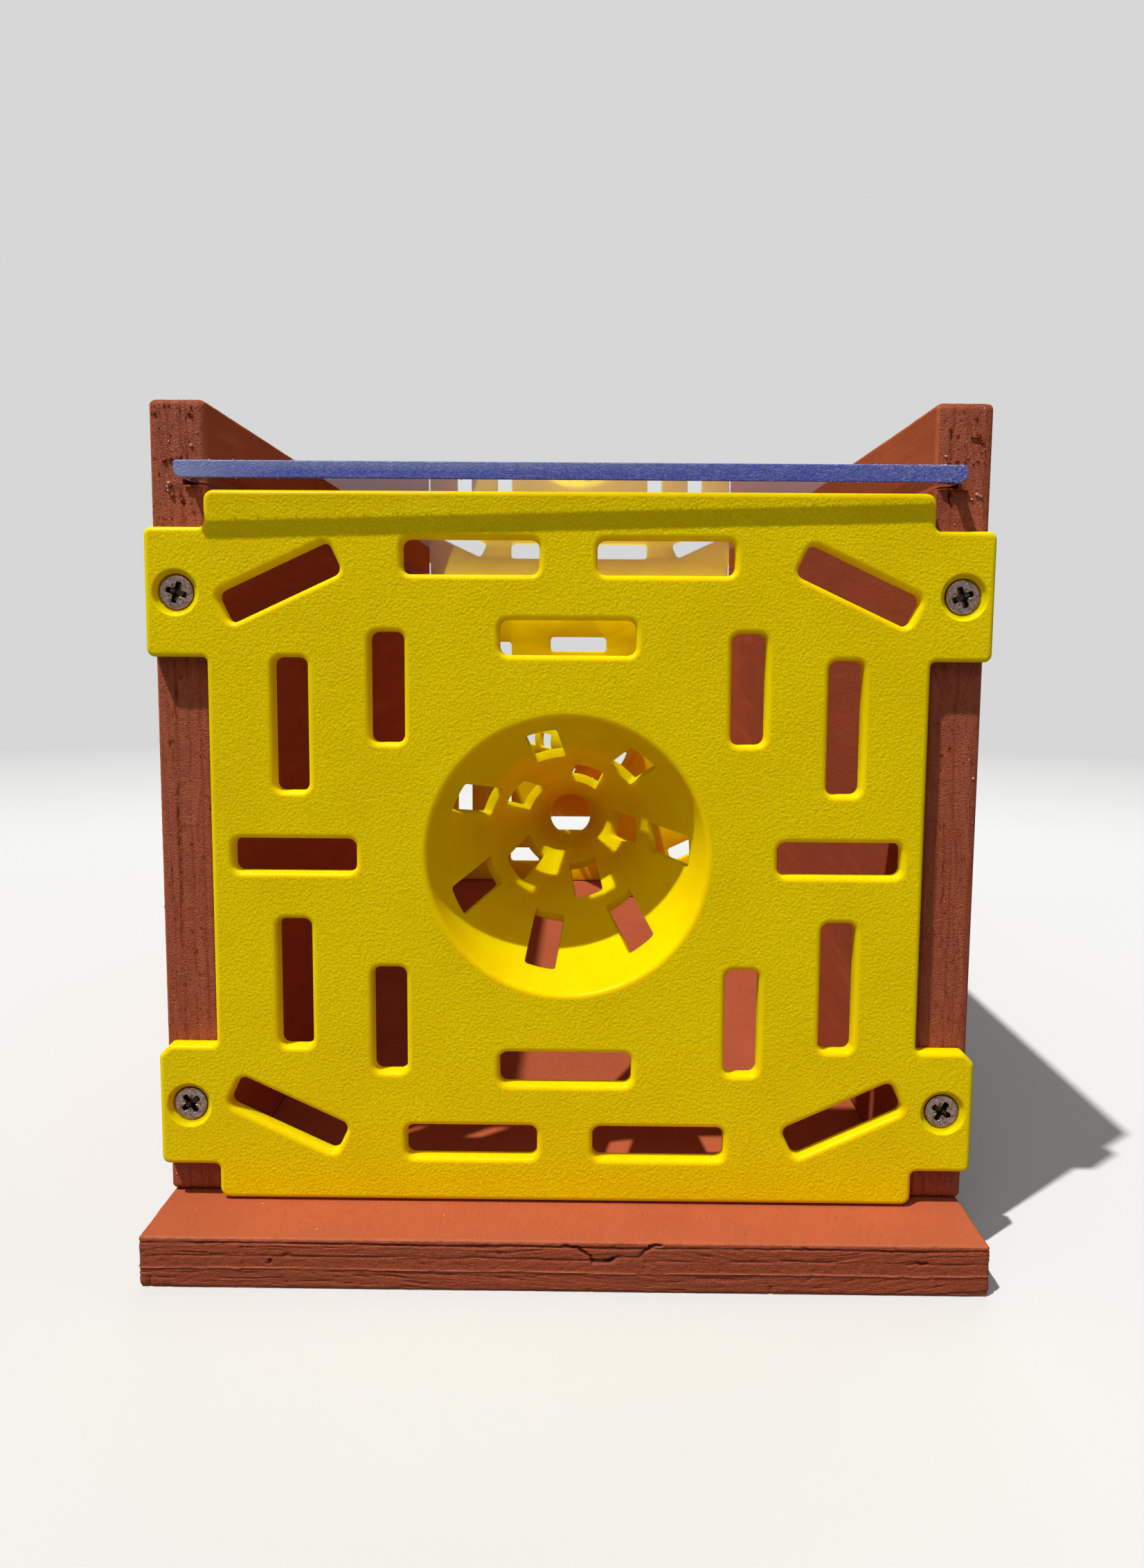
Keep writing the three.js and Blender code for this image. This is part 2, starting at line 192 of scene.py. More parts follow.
RIGHT_CRACKS = (
    (0.4, ((12.0, 5.3), (11.2, 5.1))),
    (0.25, ((-2.0, 5.7), (-14.0, 5.4), (-22.0, 5.6))),
    (0.4, ((68.0, 7.4), (63.0, 7.3), (60.0, 7.5))),
    (0.7, ((57.6, 7.4), (56.2, 7.2), (54.8, 6.6))),
    (0.35, ((66.3, 1.2), (66.0, 3.6))),
)

# Torn lumps on the side boards' front ends, in mm: x, z, half width, half height, rise, look (1 paint,
# 2 bare wood)
LEFT_LUMPS = (
    (-71.2, 140.9, 0.36, 0.28, 0.45, 2),
    (-70.8, 140.5, 0.3, 0.3, 0.5, 1),
    (-71.5, 140.3, 0.24, 0.26, 0.35, 2),
    (-71.4, 139.6, 0.2, 0.28, 0.3, 2),
    (-70.6, 138.7, 0.5, 0.35, 0.5, 1),
    (-69.0, 138.0, 0.3, 0.4, 0.35, 1),
    (-67.6, 140.2, 0.8, 0.22, 0.7, 1),
    (-66.2, 140.3, 0.7, 0.2, 0.6, 1),
    (-71.9, 144.9, 0.5, 0.35, 0.35, 1),
    (-70.9, 145.2, 0.45, 0.4, 0.4, 1),
    (-70.0, 145.1, 0.5, 0.3, 0.35, 1),
    (-69.1, 145.5, 0.4, 0.45, 0.4, 1),
    (-67.1, 147.5, 0.32, 0.3, 0.3, 2),
    (-67.4, 148.2, 0.2, 0.16, 0.25, 1),
    (-71.0, 148.1, 0.16, 0.16, 0.2, 2),
    (-65.9, 149.7, 0.15, 0.15, 0.2, 2),
    (-73.4, 153.0, 0.4, 0.18, 0.3, 1),
    (-67.3, 153.0, 0.45, 0.18, 0.35, 1),
    (-67.0, 154.0, 0.2, 0.3, 0.25, 1),
    (-73.0, 142.6, 0.2, 0.3, 0.2, 1),
)
RIGHT_LUMPS = (
    (72.0, 139.7, 0.34, 0.22, 0.4, 2),
    (72.4, 139.5, 0.3, 0.2, 0.35, 2),
    (72.8, 139.3, 0.25, 0.18, 0.3, 2),
    (71.2, 138.8, 0.25, 0.2, 0.3, 2),
    (66.2, 140.45, 0.8, 0.2, 0.9, 1),
    (67.5, 140.5, 0.8, 0.18, 1.0, 1),
    (68.8, 140.2, 0.8, 0.22, 0.9, 1),
    (70.1, 140.3, 0.6, 0.18, 0.8, 1),
    (66.3, 146.2, 0.32, 0.22, 0.3, 2),
    (70.3, 146.0, 0.2, 0.16, 0.2, 2),
    (71.2, 145.0, 0.3, 0.25, 0.3, 1),
    (72.0, 145.5, 0.25, 0.2, 0.2, 1),
    (66.9, 145.2, 0.4, 0.3, 0.35, 1),
    (68.3, 145.4, 0.4, 0.3, 0.35, 1),
    (72.7, 148.6, 0.5, 0.15, 0.25, 1),
    (71.5, 149.5, 0.9, 0.12, 0.25, 1),
    (71.4, 153.0, 0.3, 0.5, 0.3, 1),
)

# Each side board: its plies, splits and lumps, and the seeds of its relief and of its small lumps
SIDE_BOARDS = {
    "left": (LEFT_PLIES, LEFT_CRACKS, LEFT_LUMPS, 5, 31),
    "right": (RIGHT_PLIES, RIGHT_CRACKS, RIGHT_LUMPS, 8, 32),
}

# Lid
LID_IOR = 1.49
LID_TOP_CORNER = 0.5 * MM
LID_LOW_CORNER = 1.45 * MM
LID_FRAY = 0.22 * MM
# Its place in the grooves, across the box
LID_SHIFT = 0.3 * MM
# Its ends aren't sawn square: they run this far along for each unit across, as their shadow shows
LID_SKEW = 0.01
# Steps of the mesh across its width
LID_STEPS = 420
# Rows round each end's edge: how far in from the end, and how far in from the top and the underside
LID_EDGE_ROWS = ((0, 0.16 * MM), (0.1 * MM, 0.04 * MM), (0.16 * MM, 0))
LID_SAW_GRAIN = 0.8 * MM
LID_SEED = 11
# Flakes on each end: their numbers, and the share of those along its edges that are at the top
EDGE_CHIPS = 1100
CLUMP_CHIPS = 420
FACE_CHIPS = 120
TOP_SHARE = 0.72


# Smooth value noise from -1 to 1, the same on each run
def lattice(seed):
    return np.random.default_rng(seed).random((256, 256)) * 2 - 1


def noise(u, v, seed):
    grid = lattice(seed)
    u = np.asarray(u, float)
    v = np.asarray(v, float)
    i = np.floor(u).astype(int)
    j = np.floor(v).astype(int)
    a = u - i
    b = v - j
    a = a * a * (3 - 2 * a)
    b = b * b * (3 - 2 * b)
    low = grid[i % 256, j % 256] * (1 - a) + grid[(i + 1) % 256, j % 256] * a
    high = grid[i % 256, (j + 1) % 256] * (1 - a) + grid[(i + 1) % 256, (j + 1) % 256] * a
    return low * (1 - b) + high * b


def middle(node):
    """The middle of a node's box."""
    low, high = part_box(node)
    return (low + high) / 2


def above(node, height):
    """A move to the middle of a node's box in plan, at a height."""
    centre = middle(node)
    return Matrix.Translation((centre.x, centre.y, height))


def full_turn(count):
    """Even angles round a whole turn."""
    return np.arange(count) * 2 * math.pi / count


def around(radius, height, angles, centre=(0, 0)):
    """Points round an upright axis. Radius and height are one number, or one for each angle."""
    x = centre[0] + radius * np.cos(angles)
    y = centre[1] + radius * np.sin(angles)
    return list(zip(x, y, height + 0 * angles))


def lifted(points, height):
    return [(x, y, height) for x, y in points]


def new_object(name, data):
    made = bpy.data.objects.new(name, data)
    bpy.context.scene.collection.objects.link(made)
    return made


class Solid:
    """A mesh that is put together from rings of points."""

    def __init__(self):
        self.points = []
        self.faces = []
        self.looks = []
        self.depths = []

    def ring(self, points, depths=None):
        start = len(self.points)
        self.points.extend(points)
        self.depths.extend(depths if depths is not None else [0.0] * len(points))
        return list(range(start, len(self.points)))

    def face(self, corners, look=0):
        self.faces.append(tuple(corners))
        self.looks.append(look)

    def lathe(self, profile, angles, centre=(0, 0)):
        """A ring of points at each radius and height of a profile."""
        return [self.ring(around(radius, height, angles, centre)) for radius, height in profile]

    def bridge(self, first, second, look=0, gaps=None):
        """Faces between two rings, apart from those where there is a gap."""
        count = len(first)
        for i in range(count):
            if gaps and gaps[i]:
                continue
            j = (i + 1) % count
            self.face((first[i], first[j], second[j], second[i]), look)

    def fan(self, ring, point, look=0, depth=0.0):
        """Triangles between a ring and a point."""
        tip = self.ring([point], [depth])[0]
        for i, corner in enumerate(ring):
            self.face((corner, ring[(i + 1) % len(ring)], tip), look)

    def skin(self, rings, look=0):
        """Faces between each ring and the next."""
        for first, second in zip(rings, rings[1:]):
            self.bridge(first, second, look)

    def fill(self, loops, axes, look=0):
        """Triangles between an outer loop and the holes in it, all in the plane of two axes."""
        flat = [i for loop in loops for i in loop]
        coords = [Vector((self.points[i][axes[0]], self.points[i][axes[1]])) / MM for i in flat]
        edges = []
        start = 0
        for loop in loops:
            count = len(loop)
            edges += [(start + i, start + (i + 1) % count) for i in range(count)]
            start += count
        made = delaunay_2d_cdt(coords, edges, [], 0, 1e-6)
        source = [origin[0] if origin else -1 for origin in made[3]]
        tris = np.array(made[2])
        spots = np.array([tuple(v) for v in made[0]])
        centres = spots[tris].mean(axis=1)
        inside = np.zeros(len(tris), bool)
        ends = np.array([(coords[a], coords[b]) for a, b in edges])
        for (ax, ay), (bx, by) in ends:
            if ay == by:
                continue
            crossing = (ay > centres[:, 1]) != (by > centres[:, 1])
            at = ax + (centres[:, 1] - ay) * (bx - ax) / (by - ay)
            inside ^= crossing & (centres[:, 0] < at)
        for tri in tris[inside]:
            self.face([flat[source[i]] for i in tri], look)

    def piece(self, name, materials, place=Matrix.Identity(4), sharp=40):
        mesh = bpy.data.meshes.new(name)
        mesh.from_pydata([tuple(p) for p in self.points], [], self.faces)
        for material in materials:
            mesh.materials.append(material)
        mesh.polygons.foreach_set("material_index", self.looks)
        mesh.polygons.foreach_set("use_smooth", [True] * len(self.faces))
        relief = mesh.attributes.new("relief", "FLOAT", "POINT")
        relief.data.foreach_set("value", np.array(self.depths, np.float32))
        mesh.transform(place)
        mesh.update()
        piece = new_object(name, mesh)
        outward(piece)
        mesh.set_sharp_from_angle(angle=math.radians(sharp))
        return piece


def outward(piece):
    work = bmesh.new()
    work.from_mesh(piece.data)
    bmesh.ops.recalc_face_normals(work, faces=work.faces)
    work.to_mesh(piece.data)
    work.free()


def quarter(radius, steps):
    """How far a rounding lies from its two tangent lines, at even steps of its quarter turn."""
    angles = [i * math.pi / 2 / steps for i in range(steps + 1)]
    return [(radius * (1 - math.cos(a)), radius * (1 - math.sin(a))) for a in angles]


def arc(centre, radius, start, sweep, steps):
    """Points on an arc in a plane, with angles in radians."""
    angles = [start + sweep * i / steps for i in range(steps + 1)]
    return [(centre[0] + radius * math.cos(a), centre[1] + radius * math.sin(a)) for a in angles]


def rounded_corners(width, height, radii, steps, offset=0):
    """The four corners of a rectangle round the origin, each as points on an arc."""
    arcs = []
    for i, (sign_x, sign_y) in enumerate(((1, 1), (-1, 1), (-1, -1), (1, -1))):
        centre = (sign_x * (width / 2 - radii[i]), sign_y * (height / 2 - radii[i]))
        arcs.append(arc(centre, radii[i] + offset, i * math.pi / 2, math.pi / 2, steps))
    return arcs


# Entrance plate
def plate_sizes():
    _, board_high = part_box("left_side_board")
    low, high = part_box("front_entrance_plate")
    width = -2 * board_high.x - 2 * PANEL_SIDE_GAP
    height = high.z - low.z
    return width, height, high.x - low.x


def outline_corners():
    """Centre, radius, sense, start angle and sweep of every corner of the plate, anticlockwise."""
    width, height, span = plate_sizes()
    x, y, ear_x = width / 2, height / 2, span / 2
    ear_high = y - EAR_INSET
    ear_low = ear_high - EAR_HEIGHT
    cut = EAR_CHAMFER
    right = [
        (x, -y, PANEL_CORNER),
        (x, -ear_high, EAR_ROOT),
        (ear_x, -ear_high, EAR_CORNER),
        (ear_x, -ear_low - cut, EAR_CHAMFER_CORNER),
        (ear_x - cut, -ear_low, EAR_CHAMFER_CORNER),
        (x, -ear_low, EAR_ROOT),
        (x, ear_low, EAR_ROOT),
        (ear_x, ear_low, EAR_CORNER),
        (ear_x, ear_high, EAR_CORNER),
        (x, ear_high, EAR_ROOT),
        (x, y, PANEL_CORNER),
    ]
    left = [(-corner_x, corner_y, radius) for corner_x, corner_y, radius in reversed(right)]
    spots = right + left
    corners = []
    for i, (corner_x, corner_y, radius) in enumerate(spots):
        before = Vector(spots[i - 1][:2])
        after = Vector(spots[(i + 1) % len(spots)][:2])
        spot = Vector((corner_x, corner_y))
        came = (spot - before).normalized()
        goes = (after - spot).normalized()
        sign = 1 if came.x * goes.y - came.y * goes.x > 0 else -1
        sweep = sign * came.angle(goes)
        reach = radius / math.cos(sweep / 2)
        inward = (goes - came).normalized()
        start = math.atan2(came.y, came.x) - sign * math.pi / 2
        corners.append((spot + inward * reach, radius, sign, start, sweep))
    return corners


def outer_loop(offset):
    points = []
    for centre, radius, sign, start, sweep in outline_corners():
        points += arc(centre, radius - sign * offset, start, sweep, 5)
    return points


def slot_loop(slot, offset):
    centre_x, centre_y, length, turn = slot
    points = sum(rounded_corners(length, SLOT_WIDTH, [SLOT_CORNER] * 4, 5, offset), [])
    c, s = math.cos(turn), math.sin(turn)
    return [(centre_x + x * c - y * s, centre_y + x * s + y * c) for x, y in points]


def slots():
    width, height, _ = plate_sizes()
    found = []
    for length, (share_x, share_y), turn in SLOT_KINDS:
        for side_x in (-1, 1) if share_x else (1,):
            for side_y in (-1, 1) if share_y else (1,):
                x = side_x * share_x * width / 2
                y = side_y * share_y * height / 2
                found.append((x, y, length, math.radians(-side_x * side_y * turn)))
    return found


def edge_profile(rounding):
    """(offset into the material, height) pairs, from the front face round the edge to the back face."""
    top = PANEL_THICKNESS
    rows = [(rounding + SUPPORT, top)]
    rows += [(inset, top - drop) for drop, inset in quarter(rounding, 6)]
    return rows + quarter(BACK_EDGE, 2)


def well_profile():
    """(radius, height) pairs down a screw's well, its countersink and its hole."""
    top = PANEL_THICKNESS
    seat = PLATE_SCREW["head"] + SCREW_CLEARANCE
    hole = PLATE_SCREW["radius"] + SCREW_CLEARANCE
    floor = top - SCREW_SINK - HEAD_RIM
    rows = [(WELL_RIM + SUPPORT, top), (WELL_RIM, top)]
    rows += [(WELL_RIM + (seat - WELL_RIM) * share, top - SCREW_SINK * sink) for share, sink in WELL_CURVE]
    return rows + [(seat, floor), (hole, floor - (seat - hole)), (hole, BACK_EDGE), (hole + BACK_EDGE, 0)]


# Funnel
FUNNEL_DEPTH = MOUTH_BAND + OUTER_WINDOW_DEPTH + MIDDLE_BAND + INNER_WINDOW_DEPTH + TIP_BAND
SLOPE = (MOUTH_RADIUS - TIP_RADIUS) / FUNNEL_DEPTH
TILT = math.atan(SLOPE)
RIM_DEPTH = RIM_ROUNDING * (1 - math.sin(TILT))


def inner_radius(depth):
    return MOUTH_RADIUS - SLOPE * depth


def window_step(column, windows):
    """The window that a column belongs to, and how many columns past its middle it is."""
    per_window = FUNNEL_COLUMNS // windows
    window, step = divmod(column + per_window // 2, per_window)
    return window, step - per_window // 2


def window_angles(radius, half_width, kind):
    """Angles of all the columns where a ring of windows has its sides at half_width."""
    windows, columns = WINDOW_RINGS[kind]
    per_window = FUNNEL_COLUMNS // windows
    sector = 2 * math.pi / windows
    side = math.asin(half_width / radius)
    angles = []
    for column in range(FUNNEL_COLUMNS):
        window, step = window_step(column, windows)
        if abs(step) <= columns:
            local = side * step / columns
        else:
            share = (abs(step) - columns) / (per_window / 2 - columns)
            local = math.copysign(side + share * (sector / 2 - side), step)
        angles.append(window * sector + local)
    return np.array(angles)


def window_rows(start, depth):
    """(depth, half width) of the rows across a window with rounded corners."""
    half = WINDOW_WIDTH / 2
    near = [(along, half - narrower) for along, narrower in quarter(WINDOW_CORNER, 3)]
    between = [(WINDOW_CORNER + (depth - 2 * WINDOW_CORNER) * i / 7, half) for i in range(1, 7)]
    far = [(depth - along, half) for along, half in reversed(near)]
    return [(start + along, half) for along, half in near + between + far]


def funnel_rows():
    """(depth, kinds, share, half width) of every row from below the rim to above the tip's rounding."""
    inner_start = MOUTH_BAND + OUTER_WINDOW_DEPTH + MIDDLE_BAND
    rows = []

    def band(start, length, kinds, first, steps, last):
        end_half = WINDOW_WIDTH / 2 - WINDOW_CORNER
        rows.extend((start + length * i / steps, kinds, i / steps, end_half) for i in range(first, last))

    def ring(start, length, kind):
        rows.extend((depth, (kind, kind), 0, half) for depth, half in window_rows(start, length))

    band(RIM_DEPTH, MOUTH_BAND - RIM_DEPTH, ("even", "outer"), 0, 4, 4)
    ring(MOUTH_BAND, OUTER_WINDOW_DEPTH, "outer")
    band(MOUTH_BAND + OUTER_WINDOW_DEPTH, MIDDLE_BAND, ("outer", "inner"), 1, 4, 4)
    ring(inner_start, INNER_WINDOW_DEPTH, "inner")
    band(inner_start + INNER_WINDOW_DEPTH, TIP_BAND - TIP_ROUNDING, ("inner", "even"), 1, 5, 6)
    return rows


def row_angles(radius, kinds, share, half):
    """Angles of a row's columns, part of the way from one kind of row to another."""
    even = full_turn(FUNNEL_COLUMNS)
    first, last = [even if kind == "even" else window_angles(radius, half, kind) for kind in kinds]
    return first * (1 - share) + last * share


def in_window(column, kind):
    """Whether the face after a column lies in a window."""
    windows, columns = WINDOW_RINGS[kind]
    return -columns <= window_step(column, windows)[1] < columns


def add_funnel(solid, look):
    """The funnel with its rim and its tip. Gives its rings at the plate's face and above the root."""
    even = full_turn(FUNNEL_COLUMNS)
    top = PANEL_THICKNESS
    rim_centre = inner_radius(RIM_DEPTH) + RIM_ROUNDING * math.cos(TILT)
    rim = [(rim_centre + SUPPORT, top)]
    for i in range(7):
        angle = (math.pi / 2 - TILT) * i / 7
        rim.append((rim_centre - RIM_ROUNDING * math.sin(angle), top - RIM_ROUNDING * (1 - math.cos(angle))))
    rim = solid.lathe(rim, even)
    solid.skin(rim, look)

    shift_r = FUNNEL_WALL * math.cos(TILT)
    shift_z = FUNNEL_WALL * math.sin(TILT)
    rows = funnel_rows()
    inner, outer = [], []
    for depth, kinds, share, half in rows:
        radius = inner_radius(depth)
        inner.append(solid.ring(around(radius, top - depth, row_angles(radius, kinds, share, half))))
        radius += shift_r
        height = top - depth - shift_z
        outer.append(solid.ring(around(radius, height, row_angles(radius, kinds, share, half))))
    solid.bridge(rim[-1], inner[0], look)
    kinds = [row[1] for row in rows]
    root = next(i for i, row in enumerate(rows) if top - row[0] - shift_z < -ROOT_ROUNDING)
    for i in range(len(rows) - 1):
        kind = kinds[i][0]
        pierced = kinds[i] == kinds[i + 1] == (kind, kind)
        gaps = [pierced and in_window(column, kind) for column in range(FUNNEL_COLUMNS)]
        solid.bridge(inner[i], inner[i + 1], look, gaps)
        if root <= i < len(rows) - 2:
            solid.bridge(outer[i], outer[i + 1], look, gaps)
        for column, gap in enumerate(gaps):
            after = (column + 1) % FUNNEL_COLUMNS
            if gap != gaps[after]:
                solid.face((inner[i][after], inner[i + 1][after], outer[i + 1][after], outer[i][after]), look)
            for j, beyond in ((i, i - 1), (i + 1, i + 2)):
                if gap and kinds[beyond] != kinds[j]:
                    solid.face((inner[j][column], inner[j][after], outer[j][after], outer[j][column]), look)

    # The tip: over the end and back up the outside
    end_z = top - FUNNEL_DEPTH
    tip_outer = TIP_RADIUS + FUNNEL_WALL / math.cos(TILT)
    curve = quarter(TIP_ROUNDING, 3)
    tip = [(TIP_RADIUS + out, end_z + up) for out, up in curve[1:]]
    tip += [(tip_outer - back, end_z + up) for up, back in curve[:3]]
    solid.skin([inner[-1]] + solid.lathe(tip, even) + [outer[-2]], look)
    return rim[0], outer[root]


def add_root(solid, above_root, look):
    """The rounding where the funnel leaves the plate's back. Gives the ring on the back face."""
    at_back = inner_radius(PANEL_THICKNESS) + FUNNEL_WALL / math.cos(TILT)
    profile = [(at_back + ROOT_ROUNDING + SUPPORT, 0)]
    for i in range(6):
        across = ROOT_ROUNDING * (1 - i / 5) ** 2
        down = ROOT_ROUNDING * (i / 5) ** 2
        profile.append((at_back + across - SLOPE * down, -down))
    rings = solid.lathe(profile, full_turn(FUNNEL_COLUMNS))
    solid.skin(rings + [above_root], look)
    return rings[0]


def plate_piece(name, place, materials):
    solid = Solid()
    fronts, backs = [], []
    outlines = [(outer_loop, OUTER_EDGE)]
    outlines += [(lambda offset, slot=slot: slot_loop(slot, offset), SLOT_EDGE) for slot in slots()]
    for loop, rounding in outlines:
        rings = [solid.ring(lifted(loop(offset), height)) for offset, height in edge_profile(rounding)]
        solid.skin(rings[:2])
        solid.skin(rings[1:], 1)
        fronts.append(rings[0])
        backs.append(rings[-1])
    for centre in ear_centres():
        rings = solid.lathe(well_profile(), full_turn(WELL_COLUMNS), centre)
        solid.skin(rings, 1)
        fronts.append(rings[0])
        backs.append(rings[-1])
    front, above_root = add_funnel(solid, 1)
    fronts.append(front)
    backs.append(add_root(solid, above_root, 1))
    solid.fill(fronts, (0, 1))
    solid.fill(backs, (0, 1), 2)
    return solid.piece(name, materials, place, sharp=50)


def ear_centres():
    centre = middle("front_screw_upper_right")
    x, y = centre.x, centre.z - middle("front_entrance_plate").z
    return [(-x, y), (x, y), (-x, -y), (x, -y)]


def end_place(front):
    """Takes a plate's own frame (x across, y up, z out of the box, its back at 0) to the row frame."""
    low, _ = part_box("front_entrance_plate")
    at_back = Matrix.Translation((0, low.y + PANEL_THICKNESS, middle("front_entrance_plate").z))
    place = at_back @ Matrix.Rotation(math.pi / 2, 4, "X")
    return place if front else Matrix.Rotation(math.pi, 4, "Z") @ place


# Screws, with the head's flat top at height 0 and the tip below it
def recess_depth(radius, angles):
    """Depth of a cross recess with four tapered wings and four fine marks between them, in head radii."""
    depth = np.clip((0.29 - radius) / 0.05, 0, 1) * RECESS_DEPTH
    for k in range(8):
        along = radius * np.cos(angles - k * math.pi / 4)
        across = np.abs(radius * np.sin(angles - k * math.pi / 4))
        if k % 2:
            dent = np.clip(1 - across / 0.035, 0, 1) * (along > 0.3) * (along < RECESS_REACH) * 0.06
        else:
            side = np.clip((0.185 - 0.05 * along - across) / 0.04, 0, 1)
            reach = np.clip((RECESS_REACH - along) / 0.09, 0, 1)
            dent = side * reach * (along > 0) * (RECESS_DEPTH - 0.5 * np.clip(along, 0, 1))
        depth = np.maximum(depth, dent)
    return depth


def screw_mesh(name, screw, material):
    solid = Solid()
    angles = full_turn(SCREW_COLUMNS)
    head, core, radius = screw["head"], screw["core"], screw["radius"]
    rings = []
    for share in np.concatenate([np.linspace(0.04, 0.66, 24), (0.75, 0.85, 0.93)]):
        depth = head * recess_depth(share, angles)
        rings.append(solid.ring(around(share * head, -depth, angles), depth / MM))
    solid.fan(rings[0], (0, 0, -head * RECESS_DEPTH), depth=1.0)
    under = head * UNDERSIDE
    profile = [(head * 0.97, -0.01 * head), (head, -0.05 * head), (head, -HEAD_RIM)]
    profile.append((under, -HEAD_RIM - 0.02 * head))
    profile += [(under + (core - under) * i / 6, -HEAD_RIM - (head - core) * i / 6) for i in range(1, 7)]
    rings += solid.lathe(profile, angles)
    start, end = HEAD_RIM + head - core + head * NECK, screw["length"]
    rows = int((end - start) / (screw["pitch"] * THREAD_ROW))
    for i in range(rows):
        z = start + (end - start) * i / rows
        taper = min(1, max(0.03, (end - z) / (core * POINT)))
        fade = min(1, (z - start) / screw["pitch"])
        phase = (z / screw["pitch"] - angles / (2 * math.pi)) % 1
        crest = np.clip(1 - np.abs(phase - 0.5) * THREAD_SLOPE, 0, 1) * (radius - core) * fade
        rings.append(solid.ring(around((core + crest) * taper, -z, angles)))
    solid.skin(rings)
    solid.fan(rings[-1], (0, 0, -end))
    piece = solid.piece(name, [material], sharp=60)
    mesh = piece.data
    bpy.data.objects.remove(piece)
    return mesh


def put_screw(node, mesh, place, turn):
    piece = new_object(node + "_detailed", mesh.copy())
    piece.matrix_world = place @ Matrix.Rotation(math.radians(turn), 4, "Z")
    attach(piece, "box")
    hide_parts(node)


# Plywood boards. A board's own frame has u along it, v across it and w through its thickness.
def ply_relief(along, through, thickness, seed, plies, cracks, depth):
    """How far the painted edge of the plywood lies below its true face, in metres."""
    s = along / MM
    w = through / MM
    t = thickness / MM
    still = np.zeros(s.shape)
    relief = np.full(s.shape, 0.05)
    wander = 0.16 * noise(s / 17, still + seed, seed) + 0.05 * noise(s / 3, still + seed, seed + 1)
    low = 0
    for i, (high, runs_along, seam) in enumerate(plies):
        inside = np.clip((w - low * t - wander) / PLY_BLUR, 0, 1)
        inside = inside * np.clip((high * t + wander - w) / PLY_BLUR, 0, 1)
        if runs_along:
            slant = w + 0.035 * s * noise(s / 29, still, seed + 5 + i)
            streaks = noise(s / 9, slant / 0.36, seed + 10 + i) * 0.6
            streaks = streaks + noise(s / 3, slant / 0.25, seed + 20 + i) * 0.4
            splinter = np.clip((noise(s / 5, slant / 0.3, seed + 60 + i) - 0.5) * 4, 0, 1)
            relief += inside * (0.03 + 0.1 * (1 + streaks) + 0.14 * splinter)
        else:
            relief += inside * (0.07 + 0.07 * (1 + noise(s / 0.9, w / 0.8, seed + 30 + i)))
        if high < 1:
            line = np.exp(-(((w - high * t - wander) / SEAM_WIDTH) ** 2))
            relief += line * seam * (1 + 0.7 * noise(s / 6, still + high * 50, seed + 40))
        low = high
    relief *= depth
    pits = np.clip((noise(s / 0.7, w / 0.6, seed + 70) - 0.7) * 4, 0, 1)
    relief += 0.14 * pits
    for deep, crack in cracks:
        wobble = 0.2 * noise(s / 0.8, w / 0.8, seed + 50)
        fade = 0.65 + 0.5 * noise(s / 1.7, still, seed + 90)
        nearest = np.full(s.shape, 1e3)
        for (s0, w0), (s1, w1) in zip(crack, crack[1:]):
            run = np.array((s1 - s0, w1 - w0))
            share = np.clip(((s - s0) * run[0] + (w - w0) * run[1]) / (run @ run), 0, 1)
            nearest = np.minimum(nearest, np.hypot(s - s0 - share * run[0], w + wobble - w0 - share * run[1]))
        relief += deep * fade * np.exp(-((nearest / CRACK_WIDTH) ** 2))
    return np.maximum(relief, 0) * MM


def board_outline(length, height, radius):
    """Points, outward normals and the distance along of a board's outline, and the middle of its +u end."""
    path, normals, along = [], [], []
    distance = 0
    for i, (sign_u, sign_v) in enumerate(((1, -1), (1, 1), (-1, 1), (-1, -1))):
        centre = np.array((sign_u * (length / 2 - radius), sign_v * (height / 2 - radius)))
        for k in range(6):
            angle = (i - 1) * math.pi / 2 + k * math.pi / 10
            normal = np.array((math.cos(angle), math.sin(angle)))
            path.append(centre + radius * normal)
            normals.append(normal)
            along.append(distance + radius * k * math.pi / 10)
        side, step = (length, SIDE_STEP) if i % 2 else (height, END_STEP)
        run = side - 2 * radius
        count = int(run / step)
        first, distance = path[-1], along[-1]
        forward = np.array((-normal[1], normal[0]))
        for k in range(1, count):
            path.append(first + forward * run * k / count)
            normals.append(normal)
            along.append(distance + run * k / count)
        distance += run
    end_middle = radius * math.pi / 2 + height / 2 - radius
    return np.array(path), np.array(normals), np.array(along), end_middle


